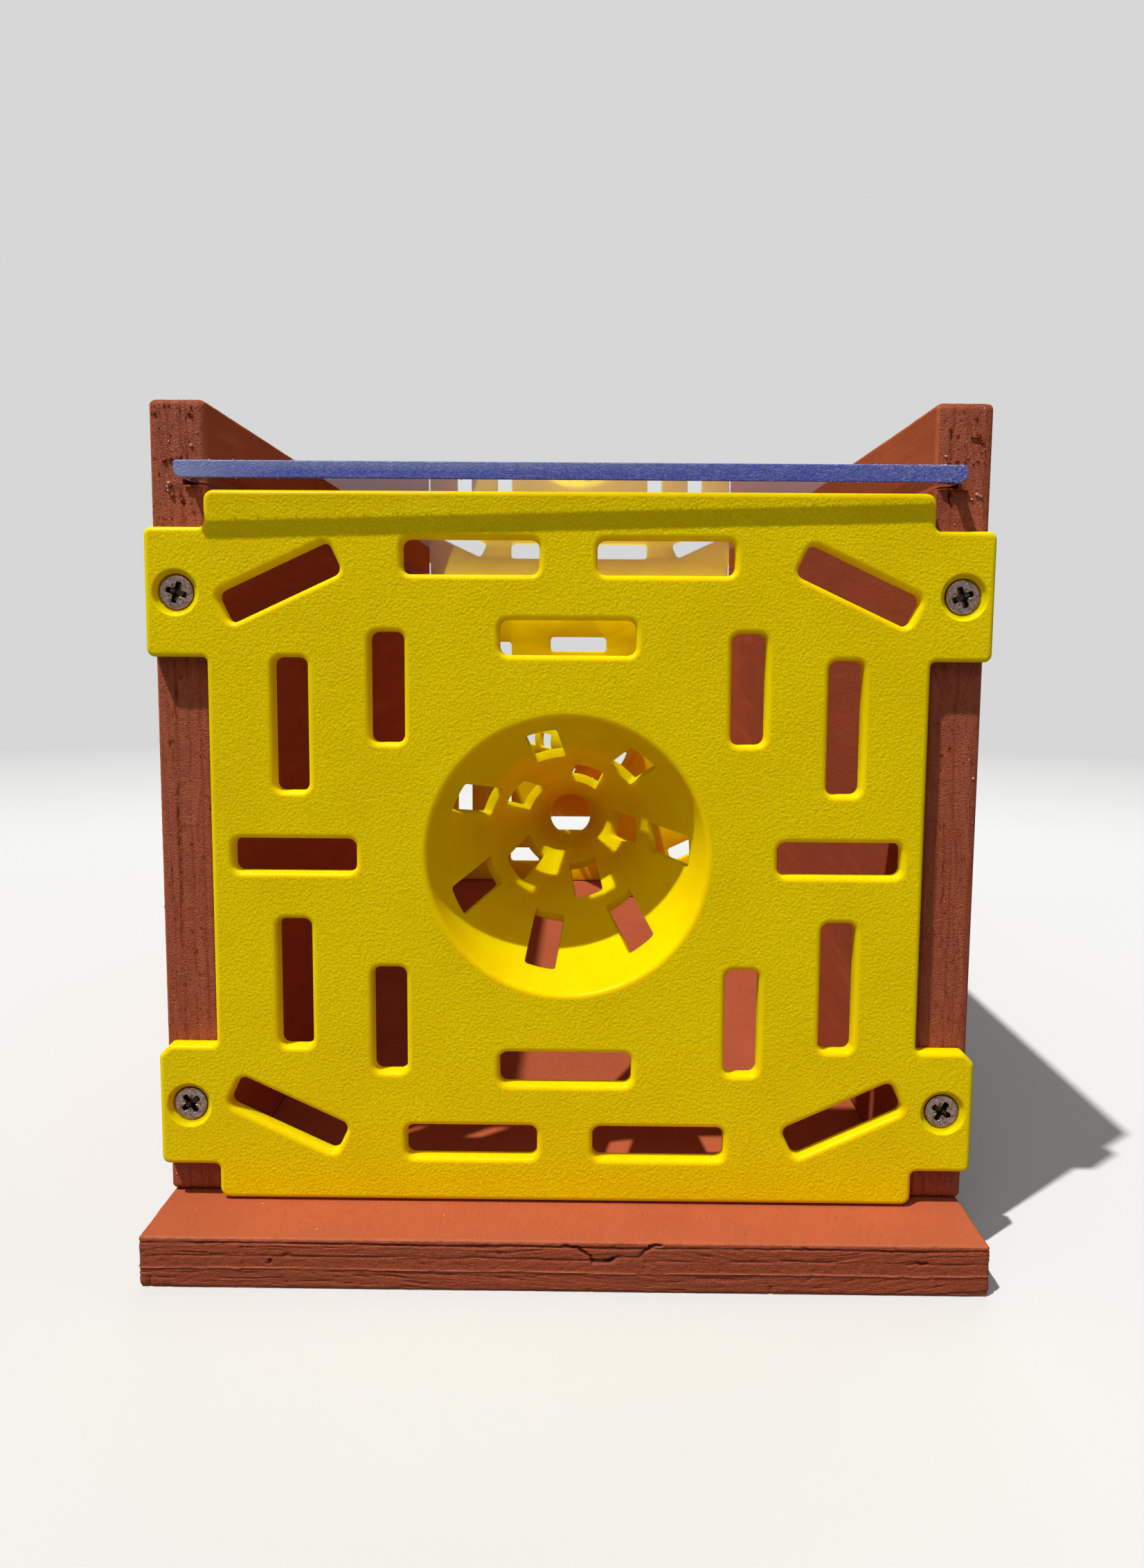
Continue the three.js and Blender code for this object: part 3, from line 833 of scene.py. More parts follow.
def board_solid(size, seed, plies, cracks, depth, edge, corner):
    """A board centred in u and v, with its thickness from w 0 up. Its +u end has the cracks."""
    length, height, thickness = size
    path, normals, along, end_middle = board_outline(length, height, corner)
    placed = [(deep, [(s + end_middle / MM, w) for s, w in crack]) for deep, crack in cracks]

    # Rows across the thickness: rounded at both faces, even between them
    rim = quarter(edge, 3)
    count = int((thickness - 2 * edge) / ROW_STEP)
    rows = rim + [(edge + (thickness - 2 * edge) * i / count, 0) for i in range(1, count)]
    rows += [(thickness - w, inset) for w, inset in reversed(rim)]

    solid = Solid()
    rings = []
    straight = np.abs(normals).max(axis=1) > 0.999
    for w, inset in rows:
        relief = ply_relief(along, np.full(len(along), w), thickness, seed, plies, placed, depth)
        # Shallower in the corners, where a deep hollow would cut through the small rounding
        relief = np.where(straight, relief, np.minimum(relief, 0.4 * corner)) * (1 - inset / edge)
        ragged = RAGGED * (1 + noise(along / (0.7 * MM), np.full(len(along), w / MM), seed + 80))
        relief = relief + ragged * math.sin(math.pi * inset / edge) * straight
        spots = path - normals * (inset + relief)[:, None]
        rings.append(solid.ring(lifted(spots, w), relief / MM))
    solid.skin(rings[:3])
    solid.skin(rings[2:-2], 1)
    solid.skin(rings[-3:])
    for ring, w in ((rings[0], 0), (rings[-1], thickness)):
        face = solid.ring(lifted(path - normals * (edge + SUPPORT), w))
        solid.bridge(ring, face)
        solid.fill([face], (0, 1))
    return solid


def cutter(name, solids):
    """One object of several closed shapes, to be cut from a board."""
    joined = Solid()
    for solid, place in solids:
        start = len(joined.points)
        joined.points += [tuple(place @ Vector(p)) for p in solid.points]
        joined.depths += solid.depths
        for face in solid.faces:
            joined.face([start + i for i in face])
    return joined.piece(name, [])


def turned(profile):
    """A closed solid of revolution from (radius, height) pairs, with a flat disc at each end."""
    solid = Solid()
    rings = solid.lathe(profile, full_turn(HOLE_COLUMNS))
    solid.skin(rings)
    solid.face(rings[0])
    solid.face(rings[-1])
    return solid


def block(low, high):
    solid = Solid()
    corners = ((low[0], low[1]), (high[0], low[1]), (high[0], high[1]), (low[0], high[1]))
    rings = [solid.ring(lifted(corners, z)) for z in (low[2], high[2])]
    solid.skin(rings)
    solid.face(rings[0])
    solid.face(rings[1])
    return solid


def cut(piece, tool):
    modifier = piece.modifiers.new("cut", "BOOLEAN")
    modifier.operation = "DIFFERENCE"
    modifier.solver = "EXACT"
    modifier.object = tool
    bpy.context.view_layer.update()
    graph = bpy.context.evaluated_depsgraph_get()
    mesh = bpy.data.meshes.new_from_object(piece.evaluated_get(graph))
    old = piece.data
    piece.modifiers.clear()
    piece.data = mesh
    bpy.data.meshes.remove(old)
    bpy.data.objects.remove(tool)
    mesh.set_sharp_from_angle(angle=math.radians(40))


# Materials
class Nodes:
    """Short ways to add and join shader nodes in a new material or world."""

    def __init__(self, owner):
        self.owner = owner
        owner.use_nodes = True
        self.tree = owner.node_tree
        self.tree.nodes.clear()

    def add(self, kind, inputs=None, **settings):
        node = self.tree.nodes.new("ShaderNode" + kind)
        for name, value in settings.items():
            setattr(node, name, value)
        for name, value in (inputs or {}).items():
            socket = node.inputs[name]
            if isinstance(value, bpy.types.NodeSocket):
                self.tree.links.new(value, socket)
            elif socket.type == "RGBA" and len(value) == 3:
                socket.default_value = (*value, 1)
            else:
                socket.default_value = value
        return node

    def end(self, shader, kind="OutputMaterial"):
        self.add(kind, {"Surface": shader})
        return self.owner

    def surface(self, colour, rough, **more):
        """Ends a material in one plain surface. The names of more inputs have _ for a space."""
        inputs = {"Base Color": colour, "Roughness": rough}
        inputs.update({name.replace("_", " "): value for name, value in more.items()})
        return self.end(self.add("BsdfPrincipled", inputs).outputs["BSDF"])

    def place(self, scale=(1, 1, 1), turn=0):
        """The piece's own coordinates, turned about y and then scaled."""
        coords = self.add("TexCoord").outputs["Object"]
        if turn:
            inputs = {"Vector": coords, "Angle": turn}
            coords = self.add("VectorRotate", inputs, rotation_type="Y_AXIS").outputs["Vector"]
        return self.add("Mapping", {"Vector": coords, "Scale": scale}).outputs["Vector"]

    def noise(self, size, stretch=(1, 1, 1), detail=3, roughness=0.5, turn=0):
        """Noise whose features are about size metres across, drawn out along each axis by stretch."""
        coords = self.place(tuple(1 / s for s in stretch), turn)
        inputs = {"Vector": coords, "Scale": 1 / size, "Detail": detail, "Roughness": roughness}
        return self.add("TexNoise", inputs).outputs["Fac"]

    def speckle(self, size, share, radius, inner=0.7):
        """Sparse round specks: 1 in a speck, 0 elsewhere. Inner is the share of its radius that is full."""
        cells = self.add("TexVoronoi", {"Vector": self.place(), "Scale": 1 / size}, feature="F1").outputs
        chosen = self.add("SeparateColor", {"Color": cells["Color"]}).outputs["Red"]
        near = self.ramp(cells["Distance"], inner * radius, radius, 1.0, 0.0)
        return self.times(near, self.math("GREATER_THAN", chosen, 1 - share))

    def math(self, operation, a, b, clamp=False):
        return self.add("Math", {0: a, 1: b}, operation=operation, use_clamp=clamp).outputs[0]

    def times(self, a, b):
        return self.math("MULTIPLY", a, b)

    def plus(self, a, b):
        return self.math("ADD", a, b)

    def less(self, a, b):
        return self.math("SUBTRACT", a, b)

    def larger(self, a, b):
        return self.math("MAXIMUM", a, b)

    def ramp(self, value, low, high, start=0.0, end=1.0):
        inputs = {"Value": value, "From Min": low, "From Max": high, "To Min": start, "To Max": end}
        return self.add("MapRange", inputs, clamp=True).outputs["Result"]

    def relief(self):
        """How deep a point lies below a piece's true face, as Solid's depths say it."""
        return self.add("Attribute", attribute_name="relief").outputs["Fac"]

    def gloss(self, level, low=0.3, high=0.62):
        """A specular level that fades out where a surface is seen edge on, as on rough, dusty matter."""
        return self.ramp(self.add("LayerWeight", {"Blend": 0.5}).outputs["Facing"], low, high, level, 0.0)

    def seen(self):
        """1 for what is seen, also in a mirror or through a clear sheet, and 0 for what only gives light."""
        path = self.add("LightPath").outputs
        unmixed = self.larger(path["Is Camera Ray"], path["Is Glossy Ray"])
        return self.larger(unmixed, path["Is Transmission Ray"])

    def mix(self, factor, first, second):
        return self.add("Mix", {0: factor, 6: first, 7: second}, data_type="RGBA").outputs[2]

    def layers(self, colour, *layers):
        """Lays colours over one, each by a ramp of a value: (colour, value, low, high, start, end)."""
        for over, *ramp in layers:
            colour = self.mix(self.ramp(*ramp), colour, over)
        return colour

    def mix_shaders(self, factor, first, second):
        return self.add("MixShader", {0: factor, 1: first, 2: second}).outputs["Shader"]

    def bump(self, height, distance, strength=1.0):
        inputs = {"Height": height, "Distance": distance, "Strength": strength}
        return self.add("Bump", inputs).outputs["Normal"]


def srgb(red, green, blue):
    """A colour as a picture shows it, from 0 to 255, in linear light."""
    values = [c / 255 for c in (red, green, blue)]
    return tuple(c / 12.92 if c <= 0.04045 else ((c + 0.055) / 1.055) ** 2.4 for c in values)


YELLOW = srgb(244, 219, 0)
# YELLOW_DEEP is also used as painted shade in the hollows of the plates' grain
YELLOW_DEEP = srgb(226, 193, 0)
YELLOW_FUNNEL = srgb(246, 213, 0)
YELLOW_FUNNEL_DEEP = srgb(230, 188, 0)
SHEEN = (1.0, 0.84, 0.06)
PAINT = srgb(180, 92, 58)
PAINT_EDGE = srgb(152, 67, 36)
# PAINT_DARK and PAINT_LIGHT also serve as painted shade and painted highlight on the boards' paint
PAINT_DARK = srgb(84, 28, 12)
PAINT_LIGHT = srgb(204, 116, 82)
DUST = srgb(232, 214, 206)
LID_TINT = (0.94, 0.95, 0.99)
BACKGROUND = srgb(214, 215, 214)
FLOOR_BOUNCE = srgb(104, 104, 98)
SKY_LIGHT = (0.9, 0.94, 1.0)
SKY_STRENGTH = 0.1
FLOOR_REACH = 8.0
# Lights from far off: the way they travel, their strength, their spread in degrees and their colour
LIGHTS = {
    "key": ((1.03, 1, -2.82), 1.22, 1.2, (1.0, 0.985, 0.96)),
    "front_fill": ((0.2, 1, -0.8), 0.15, 40, (1, 1, 1)),
    "rear_fill": ((-0.2, -1, -0.5), 0.2, 60, (1, 1, 1)),
}


def darker(share, colour):
    return tuple(share * c for c in colour)


def new_material(name):
    return Nodes(bpy.data.materials.new(name))


def yellow_plastic(name, grained):
    n = new_material(name)
    mottle = n.ramp(n.noise(16 * MM, detail=4), 0.35, 0.7, 0.0, 0.5)
    if grained:
        colour = n.mix(mottle, YELLOW, YELLOW_DEEP)
        fine = n.noise(0.46 * MM, detail=1)
        inputs = {"Vector": n.place(), "Scale": 1 / (0.48 * MM), "Smoothness": 0.3}
        beads = n.add("TexVoronoi", inputs, feature="SMOOTH_F1").outputs["Distance"]
        grain = n.less(n.times(fine, 0.7), n.times(beads, 0.5))
        # Darker in the hollows between the grain's beads: painted shade
        colour = n.mix(n.ramp(grain, 0.24, 0.04, 0.0, 0.55), colour, YELLOW_DEEP)
        glints = n.larger(n.speckle(0.66 * MM, 0.16, 0.22, 0.1), n.speckle(0.9 * MM, 0.1, 0.2, 0.1))
        rough = n.ramp(n.noise(0.5 * MM, detail=1), 0.35, 0.65, 0.2, 0.42)
        rough = n.less(rough, n.times(glints, 0.14))
        normal = n.bump(n.plus(grain, n.times(glints, 0.4)), 0.115 * MM)
        tint = n.mix(glints, SHEEN, (1, 1, 1))
        level = n.times(n.gloss(0.5), n.plus(glints, 1.0))
        glow, depth = 0.2, 1.6 * MM
    else:
        colour = n.mix(mottle, YELLOW_FUNNEL, YELLOW_FUNNEL_DEEP)
        rough = n.ramp(n.noise(7 * MM), 0.3, 0.7, 0.3, 0.4)
        normal = n.bump(n.noise(3.5 * MM), 0.05 * MM, 0.5)
        tint = SHEEN
        level = n.gloss(0.35, 0.2, 0.5)
        glow, depth = 0.7, 4.4 * MM
    return n.surface(
        colour,
        rough,
        Normal=normal,
        IOR=1.5,
        Specular_IOR_Level=level,
        Specular_Tint=tint,
        Subsurface_Weight=glow,
        Subsurface_Radius=(1.0, 0.5, 0.03),
        Subsurface_Scale=depth,
    )


def paint_face(name, strokes, uneven):
    """Paint on a broad face: fine brush strokes, darker in their hollows and paler on their ridges as painted
    shade and painted highlight, laps where they overlap, small pits with dark specks of painted shade, and
    specks of dust.
    """
    n = new_material(name)
    hairs = n.noise(0.42 * MM, strokes, roughness=0.6)
    brush = n.noise(2.4 * MM, strokes, 2)
    laps = n.noise(6.5 * MM, strokes, 4, 0.55)
    pits = n.ramp(n.noise(0.6 * MM), 0.25, 0.42)
    height = n.plus(n.plus(n.times(hairs, 0.4), n.times(brush, 0.5)), n.times(pits, 0.5))
    colour = n.layers(
        PAINT,
        (darker(0.9, PAINT), n.noise(22 * MM, detail=4), 0.3, 0.7),
        (darker(0.74, PAINT), laps, 0.4, 0.64, 0.0, uneven),
        (PAINT_LIGHT, laps, 0.4, 0.26, 0.0, uneven),
        # Darker in the hollows of the fine strokes and paler on their ridges: painted shade and painted
        # highlight
        (PAINT_DARK, hairs, 0.3, 0.4, 0.2, 0.0),
        (PAINT_LIGHT, hairs, 0.6, 0.75, 0.0, 0.3),
    )
    # Sparse dark specks: painted shade of small pits
    colour = n.mix(n.times(n.speckle(4.1 * MM, 0.2, 0.04), 0.7), colour, PAINT_DARK)
    colour = n.mix(n.times(n.speckle(3.1 * MM, 0.16, 0.05), 0.85), colour, DUST)
    rough = n.ramp(brush, 0.3, 0.7, 0.56, 0.7)
    return n.surface(colour, rough, Normal=n.bump(height, 0.16 * MM, 0.8), Specular_IOR_Level=n.gloss(0.2))


def paint_edge(name, fibres, depth):
    """Paint on sawn plywood, with painted highlight where it stands proud and painted shade in its
    hollows, its cracks and the low parts of its fibres.
    """
    n = new_material(name)
    relief = n.relief()
    strands = n.noise(0.26 * MM, fibres, 4, 0.62)
    stipple = n.noise(0.36 * MM, roughness=0.6)
    height = n.plus(n.times(strands, 0.7), n.times(stipple, 0.7))
    colour = n.layers(
        PAINT_EDGE,
        (darker(0.85, PAINT_EDGE), n.noise(14 * MM, detail=4), 0.3, 0.7),
        # Paler where the edge stands proud, darker where it lies deep in hollows and cracks: painted
        # highlight and painted shade
        (PAINT_LIGHT, relief, 0.14, 0.0, 0.0, 0.55),
        (PAINT_DARK, relief, 0.28, 0.8, 0.0, 0.85),
        # Darker in the low parts of the fine fibres and paler on their high parts: painted shade and painted
        # highlight
        (PAINT_DARK, height, 0.62, 0.42, 0.0, 0.75),
        (PAINT_LIGHT, height, 0.76, 0.95, 0.0, 0.6),
    )
    colour = n.mix(n.times(n.speckle(2.7 * MM, 0.12, 0.05), 0.7), colour, DUST)
    rough = n.ramp(stipple, 0.3, 0.7, 0.45, 0.7)
    return n.surface(colour, rough, Normal=n.bump(height, depth), Specular_IOR_Level=n.gloss(0.25))


def bare_wood():
    n = new_material("bare_wood")
    tone = n.layers(srgb(226, 196, 186), (srgb(184, 116, 88), n.noise(0.3 * MM), 0.4, 0.6))
    return n.surface(tone, 0.7)


def lid_face():
    n = new_material("lid_clear")
    dust = n.ramp(n.noise(1.6 * MM, detail=5, roughness=0.7), 0.58, 0.75, 0.0, 0.1)
    dust = n.math("ADD", dust, n.times(n.speckle(2.3 * MM, 0.3, 0.06), 0.5), clamp=True)
    clear = n.add("BsdfTransparent", {"Color": LID_TINT}).outputs["BSDF"]
    gloss = n.add("BsdfGlossy", {"Color": (1, 1, 1), "Roughness": 0.02}).outputs["BSDF"]
    # One face of a thin sheet reflects for both, and only towards the side that it faces
    once = n.add("Fresnel", {"IOR": LID_IOR}).outputs["Fac"]
    both = n.math("DIVIDE", n.times(once, 2.0), n.plus(once, 1.0))
    # At a glancing angle its tint and its inner reflections leave little of what is behind it
    kept = n.times(n.less(1.0, both), n.ramp(both, 0.4, 0.75, 1.0, 0.35))
    front = n.less(1.0, n.add("NewGeometry").outputs["Backfacing"])
    pane = n.mix_shaders(n.times(n.less(1.0, kept), front), clear, gloss)
    powder = n.add("BsdfDiffuse", {"Color": DUST}).outputs["BSDF"]
    return n.end(n.mix_shaders(n.times(dust, front), pane, powder))


def lid_edge():
    """The sawn edge: deep blue under pale, nearly level scratches, paler towards the top and the left end,
    with pale flecks at the right end."""
    n = new_material("lid_sawn_edge")
    scratches = 0.0
    for turn in (0.06, 0.28, 2.85, 3.1):
        lines = n.noise(0.11 * MM, (10, 1, 1), turn=turn)
        scratches = n.larger(scratches, n.ramp(lines, 0.6, 0.74))
    axes = n.add("SeparateXYZ", {"Vector": n.place()}).outputs
    low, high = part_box("lid_sheet")
    # Paler towards the top, and more so towards the left
    paler_top_left = n.ramp(axes["Z"], low.z + 1.2 * MM, high.z, 0.0, 0.55)
    paler_top_left = n.times(paler_top_left, n.ramp(axes["X"], -20 * MM, 40 * MM, 1.0, 0.15))
    cloud = n.times(n.noise(1.5 * MM, (5, 1, 1), 4), 16 * MM)
    to_left = n.ramp(n.plus(axes["X"], cloud), low.x + 10 * MM, low.x + 26 * MM, 0.6, 0.0)
    grit = n.ramp(n.noise(0.35 * MM, roughness=0.7), 0.45, 0.75)
    deep = n.mix(n.noise(0.9 * MM, (3, 1, 1), 4), srgb(34, 44, 148), srgb(56, 70, 170))
    blue = n.mix(n.larger(paler_top_left, to_left), deep, srgb(142, 154, 192))
    shown = n.times(scratches, n.ramp(axes["Z"], low.z, high.z - 0.6 * MM, 0.22, 0.6))
    colour = n.mix(shown, blue, srgb(184, 196, 228))
    flecks = n.ramp(n.noise(0.34 * MM, detail=4, roughness=0.7), 0.54, 0.66)
    flecks = n.times(flecks, n.ramp(axes["X"], high.x - 26 * MM, high.x - 2 * MM, 0.0, 0.5))
    colour = n.mix(flecks, colour, srgb(212, 218, 236))
    colour = n.mix(n.times(grit, 0.18), colour, srgb(206, 212, 226))
    normal = n.bump(n.plus(scratches, grit), 0.06 * MM, 0.8)
    return n.surface(colour, 0.5, Normal=normal, IOR=LID_IOR)


def lid_chips():
    n = new_material("lid_chips")
    tone = n.mix(n.noise(0.4 * MM), srgb(214, 224, 246), srgb(150, 168, 224))
    return n.surface(tone, 0.5, Subsurface_Weight=0.3, Subsurface_Scale=0.5 * MM)


def screw_metal():
    n = new_material("passivated_zinc")
    stain = n.noise(1.1 * MM, detail=5, roughness=0.65)
    colour = n.layers(
        srgb(146, 126, 132),
        (srgb(110, 90, 48), stain, 0.38, 0.62),
        # Pale flecks: painted glints
        (srgb(206, 176, 160), n.noise(0.45 * MM), 0.58, 0.7, 0.0, 0.7),
        (srgb(62, 52, 46), n.noise(0.7 * MM, detail=4), 0.5, 0.34, 0.0, 0.6),
        # Darker deep in the cross recess: painted shade
        (srgb(40, 30, 22), n.relief(), 0.2, 1.1, 0.0, 0.85),
    )
    rough = n.ramp(stain, 0.3, 0.7, 0.2, 0.42)
    return n.surface(colour, rough, Metallic=1.0, Normal=n.bump(n.noise(0.8 * MM, detail=4), 0.1 * MM))


def floor_paper():
    """Matt pale floor. What sees its far parts sees the background's colour, so that it has no horizon."""
    n = new_material("floor_paper")
    seen = n.seen()
    tone = n.layers(BACKGROUND, (darker(0.985, BACKGROUND), n.noise(0.2, detail=2), 0.3, 0.7))
    inputs = {"Base Color": n.mix(seen, FLOOR_BOUNCE, tone), "Roughness": 0.8, "Specular IOR Level": 0.2}
    paper = n.add("BsdfPrincipled", inputs).outputs["BSDF"]
    away = n.add("VectorMath", {0: n.place()}, operation="LENGTH").outputs["Value"]
    beyond = n.add("Emission", {"Color": BACKGROUND, "Strength": 1.0}).outputs["Emission"]
    return n.end(n.mix_shaders(n.times(n.ramp(away, 0.45, 1.1), seen), paper, beyond))


# Pieces
def make_plates():
    grain = yellow_plastic("yellow_grained", True)
    smooth = yellow_plastic("yellow_smooth", False)
    back = yellow_plastic("yellow_back", False)
    for end in ("front", "rear"):
        piece = plate_piece(end + "_plate_moulding", end_place(end == "front"), [grain, smooth, back])
        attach(piece, "box")
        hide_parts(end + "_entrance_plate")


def make_screws():
    metal = screw_metal()
    plate_mesh = screw_mesh("plate_screw", PLATE_SCREW, metal)
    base_mesh = screw_mesh("base_screw", BASE_SCREW, metal)
    names = ("upper_left", "upper_right", "lower_left", "lower_right")
    for end, turns in (("front", (72, 22, 38, 58)), ("rear", (10, 64, 81, 33))):
        for name, (x, y), turn in zip(names, ear_centres(), turns):
            at = end_place(end == "front") @ Matrix.Translation((x, y, PANEL_THICKNESS - SCREW_SINK))
            put_screw(f"{end}_screw_{name}", plate_mesh, at, turn)
    for i, node in enumerate(base_screws("left") + base_screws("right")):
        at = above(node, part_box(node)[0].z) @ Matrix.Rotation(math.pi, 4, "X")
        put_screw(node, base_mesh, at, 37 * i)


def base_screws(side):
    return [f"base_screw_{side}_{number}" for number in (1, 2, 3)]


def screw_hole(screw, sink):
    """A cutter for a countersunk screw that is driven up from a face at height 0."""
    seat = screw["head"] + SCREW_CLEARANCE
    hole = screw["radius"] + SCREW_CLEARANCE
    floor = sink + HEAD_RIM
    return turned([(seat, -MM), (seat, floor), (hole, floor + seat - hole), (hole, 2 * screw["length"])])


def shaft_hole(screw, low, high):
    """A cutter for a screw's shaft between two heights."""
    radius = screw["radius"] + SCREW_CLEARANCE
    return turned([(radius, low - MM), (radius, high + MM)])


def crumb(solid, rng, centre, size, look):
    """A small uneven lump, of half sizes along x, y and z."""
    columns = 7
    rings = []
    for latitude in (-0.8, 0.1, 0.85):
        points = []
        for column in range(columns):
            angle = 2 * math.pi * column / columns
            reach = math.cos(latitude) * rng.uniform(0.7, 1.3)
            spot = (reach * math.cos(angle), math.sin(latitude), reach * math.sin(angle))
            points.append(tuple(c + s * half for c, s, half in zip(centre, spot, size)))
        rings.append(solid.ring(points, [0.2] * columns))
    solid.skin(rings, look)
    for ring, sign in ((rings[0], -1), (rings[2], 1)):
        solid.fan(ring, (centre[0], centre[1] + sign * size[1], centre[2]), look, 0.2)


def add_lumps(piece, solid, bare):
    """Joins lumps to a board's mesh."""
    piece.data.materials.append(bare)
    lumps = solid.piece("lumps", list(piece.data.materials))
    work = bmesh.new()
    work.from_mesh(piece.data)
    work.from_mesh(lumps.data)
    work.to_mesh(piece.data)
    work.free()
    bpy.data.objects.remove(lumps)


def end_lumps(front, spans, named, count, seed):
    """Lumps on a board's front end: named ones, and small ones at random in spans of x and z."""
    rng = np.random.default_rng(seed)
    solid = Solid()
    for x, z, half_x, half_z, rise, look in named:
        centre = (x * MM, front + 0.1 * rise * MM, z * MM)
        crumb(solid, rng, centre, (half_x * MM, rise * MM, half_z * MM), look)
    for (low_x, high_x), (low_z, high_z), share in spans:
        for _ in range(int(count * share)):
            size = rng.uniform(*LUMP_SIZES)
            size *= LARGE if rng.random() < LARGE_SHARE else 1
            half_x, half_z = size * rng.uniform(0.6, 1.3), size * rng.uniform(0.8, 1.8)
            # More of them near the outer edge, where the face curves away
            x = low_x + (high_x - low_x) * rng.uniform(0, 1) ** 1.6
            short = max(0.0, BOARD_EDGE - min(abs(x - low_x), abs(high_x - x)))
            back = BOARD_EDGE - math.sqrt(BOARD_EDGE**2 - short**2)
            centre = (x, front + back + 0.12 * MM, rng.uniform(low_z, high_z))
            look = 2 if rng.random() < BARE_SHARE else 1
            crumb(solid, rng, centre, (half_x * MM, (0.14 + 0.4 * size) * MM, half_z * MM), look)
    return solid


def make_base(face, edge):
    low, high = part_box("base_board")
    size = high - low
    sides = (size.y, size.x, size.z)
    solid = board_solid(sides, BASE_SEED, BASE_PLIES, BASE_CRACKS, BASE_RELIEF, BASE_EDGE, BASE_CORNER)
    place = above("base_board", low.z) @ Matrix.Rotation(-math.pi / 2, 4, "Z")
    piece = solid.piece("base_board_painted", [face, edge], place)
    hole = screw_hole(BASE_SCREW, BASE_SCREW_SINK)
    screws = base_screws("left") + base_screws("right")
    cut(piece, cutter("base_holes", [(hole, above(node, 0)) for node in screws]))
    return piece


def side_cuts(side, low, high):
    """The lid's groove and the screws' pilot holes in a side board, as solids with their places."""
    lid_low, lid_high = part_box("lid_sheet")
    beyond = 2 * MM
    xs = (lid_low.x - GROOVE_END_GAP, high.x + beyond)
    if side == "right":
        xs = (low.x - beyond, lid_high.x + GROOVE_END_GAP)
    bottom = (xs[0], low.y - beyond, lid_low.z - GROOVE_GAP)
    tools = [(block(bottom, (xs[1], high.y + beyond, lid_high.z + GROOVE_GAP)), Matrix.Identity(4))]
    for end in ("front", "rear"):
        for corner in ("upper_left", "upper_right", "lower_left", "lower_right"):
            node = f"{end}_screw_{corner}"
            centre = middle(node)
            if (centre.x > 0) == (low.x > 0):
                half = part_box(node)[1].y - centre.y
                place = Matrix.Translation(centre) @ Matrix.Rotation(math.pi / 2, 4, "X")
                tools.append((shaft_hole(PLATE_SCREW, -half, half), place))
    for node in base_screws(side):
        tools.append((shaft_hole(BASE_SCREW, low.z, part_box(node)[1].z), above(node, 0)))
    return tools


def make_side_board(side, face, edge, bare):
    node = side + "_side_board"
    low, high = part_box(node)
    size = high - low
    plies, cracks, named, seed, lump_seed = SIDE_BOARDS[side]
    sides = (size.y, size.z, size.x)
    solid = board_solid(sides, seed, plies, cracks, SIDE_RELIEF, BOARD_EDGE, BOARD_CORNER)
    # u runs towards the front, v up and w to the left
    turn = Matrix(((0, 0, -1, 0), (-1, 0, 0, 0), (0, 1, 0, 0), (0, 0, 0, 1)))
    centre = middle(node)
    place = Matrix.Translation((high.x, centre.y, centre.z)) @ turn
    piece = solid.piece(node + "_painted", [face, edge], place)
    cut(piece, cutter(node + "_cuts", side_cuts(side, low, high)))

    # Small lumps lie between the plate's ears and the lid, with each span's share of their number
    lid_low, lid_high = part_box("lid_sheet")
    plate_low, plate_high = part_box("front_entrance_plate")
    ear_high = plate_high.z - EAR_INSET
    ear_low = plate_low.z + EAR_INSET
    spans = (
        (low.z + 1 * MM, ear_low - LUMP_GAP, 0.04),
        (ear_low + EAR_HEIGHT + LUMP_GAP, ear_high - EAR_HEIGHT - LUMP_GAP, 0.53),
        (ear_high + LUMP_GAP, lid_low.z - 0.6 * MM, 0.1),
        (lid_high.z + 0.7 * MM, high.z - 1 * MM, 0.23),
    )
    margin = 0.15 * MM
    across = (low.x + margin, high.x - margin)
    if side == "right":
        across = (high.x - margin, low.x + margin)
    placed = [(across, span[:2], span[2]) for span in spans]
    add_lumps(piece, end_lumps(low.y, placed, named, SMALL_LUMPS, lump_seed), bare)
    return piece


def make_boards():
    base_face = paint_face("paint_base_face", (1, 9, 1), 0.12)
    base_edge = paint_edge("paint_base_edge", (7, 7, 1), 0.27 * MM)
    side_face = paint_face("paint_side_face", (1, 9, 1), 0.4)
    side_edge = paint_edge("paint_side_edge", (2, 1, 1), 0.38 * MM)
    bare = bare_wood()
    made = {"base_board": make_base(base_face, base_edge)}
    for side in ("left", "right"):
        made[side + "_side_board"] = make_side_board(side, side_face, side_edge, bare)
    for node, piece in made.items():
        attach(piece, "box")
        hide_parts(node)


def lid_section(width, thickness):
    """The lid's outline across its width, with fine steps along the top and the underside."""
    radii = [LID_TOP_CORNER] * 2 + [LID_LOW_CORNER] * 2
    section = []
    for i, corner in enumerate(rounded_corners(width, thickness, radii, 7)):
        section += corner
        if i % 2 == 0:
            x, z = section[-1]
            section += [(x * (1 - 2 * k / LID_STEPS), z) for k in range(1, LID_STEPS)]
    return np.array(section)


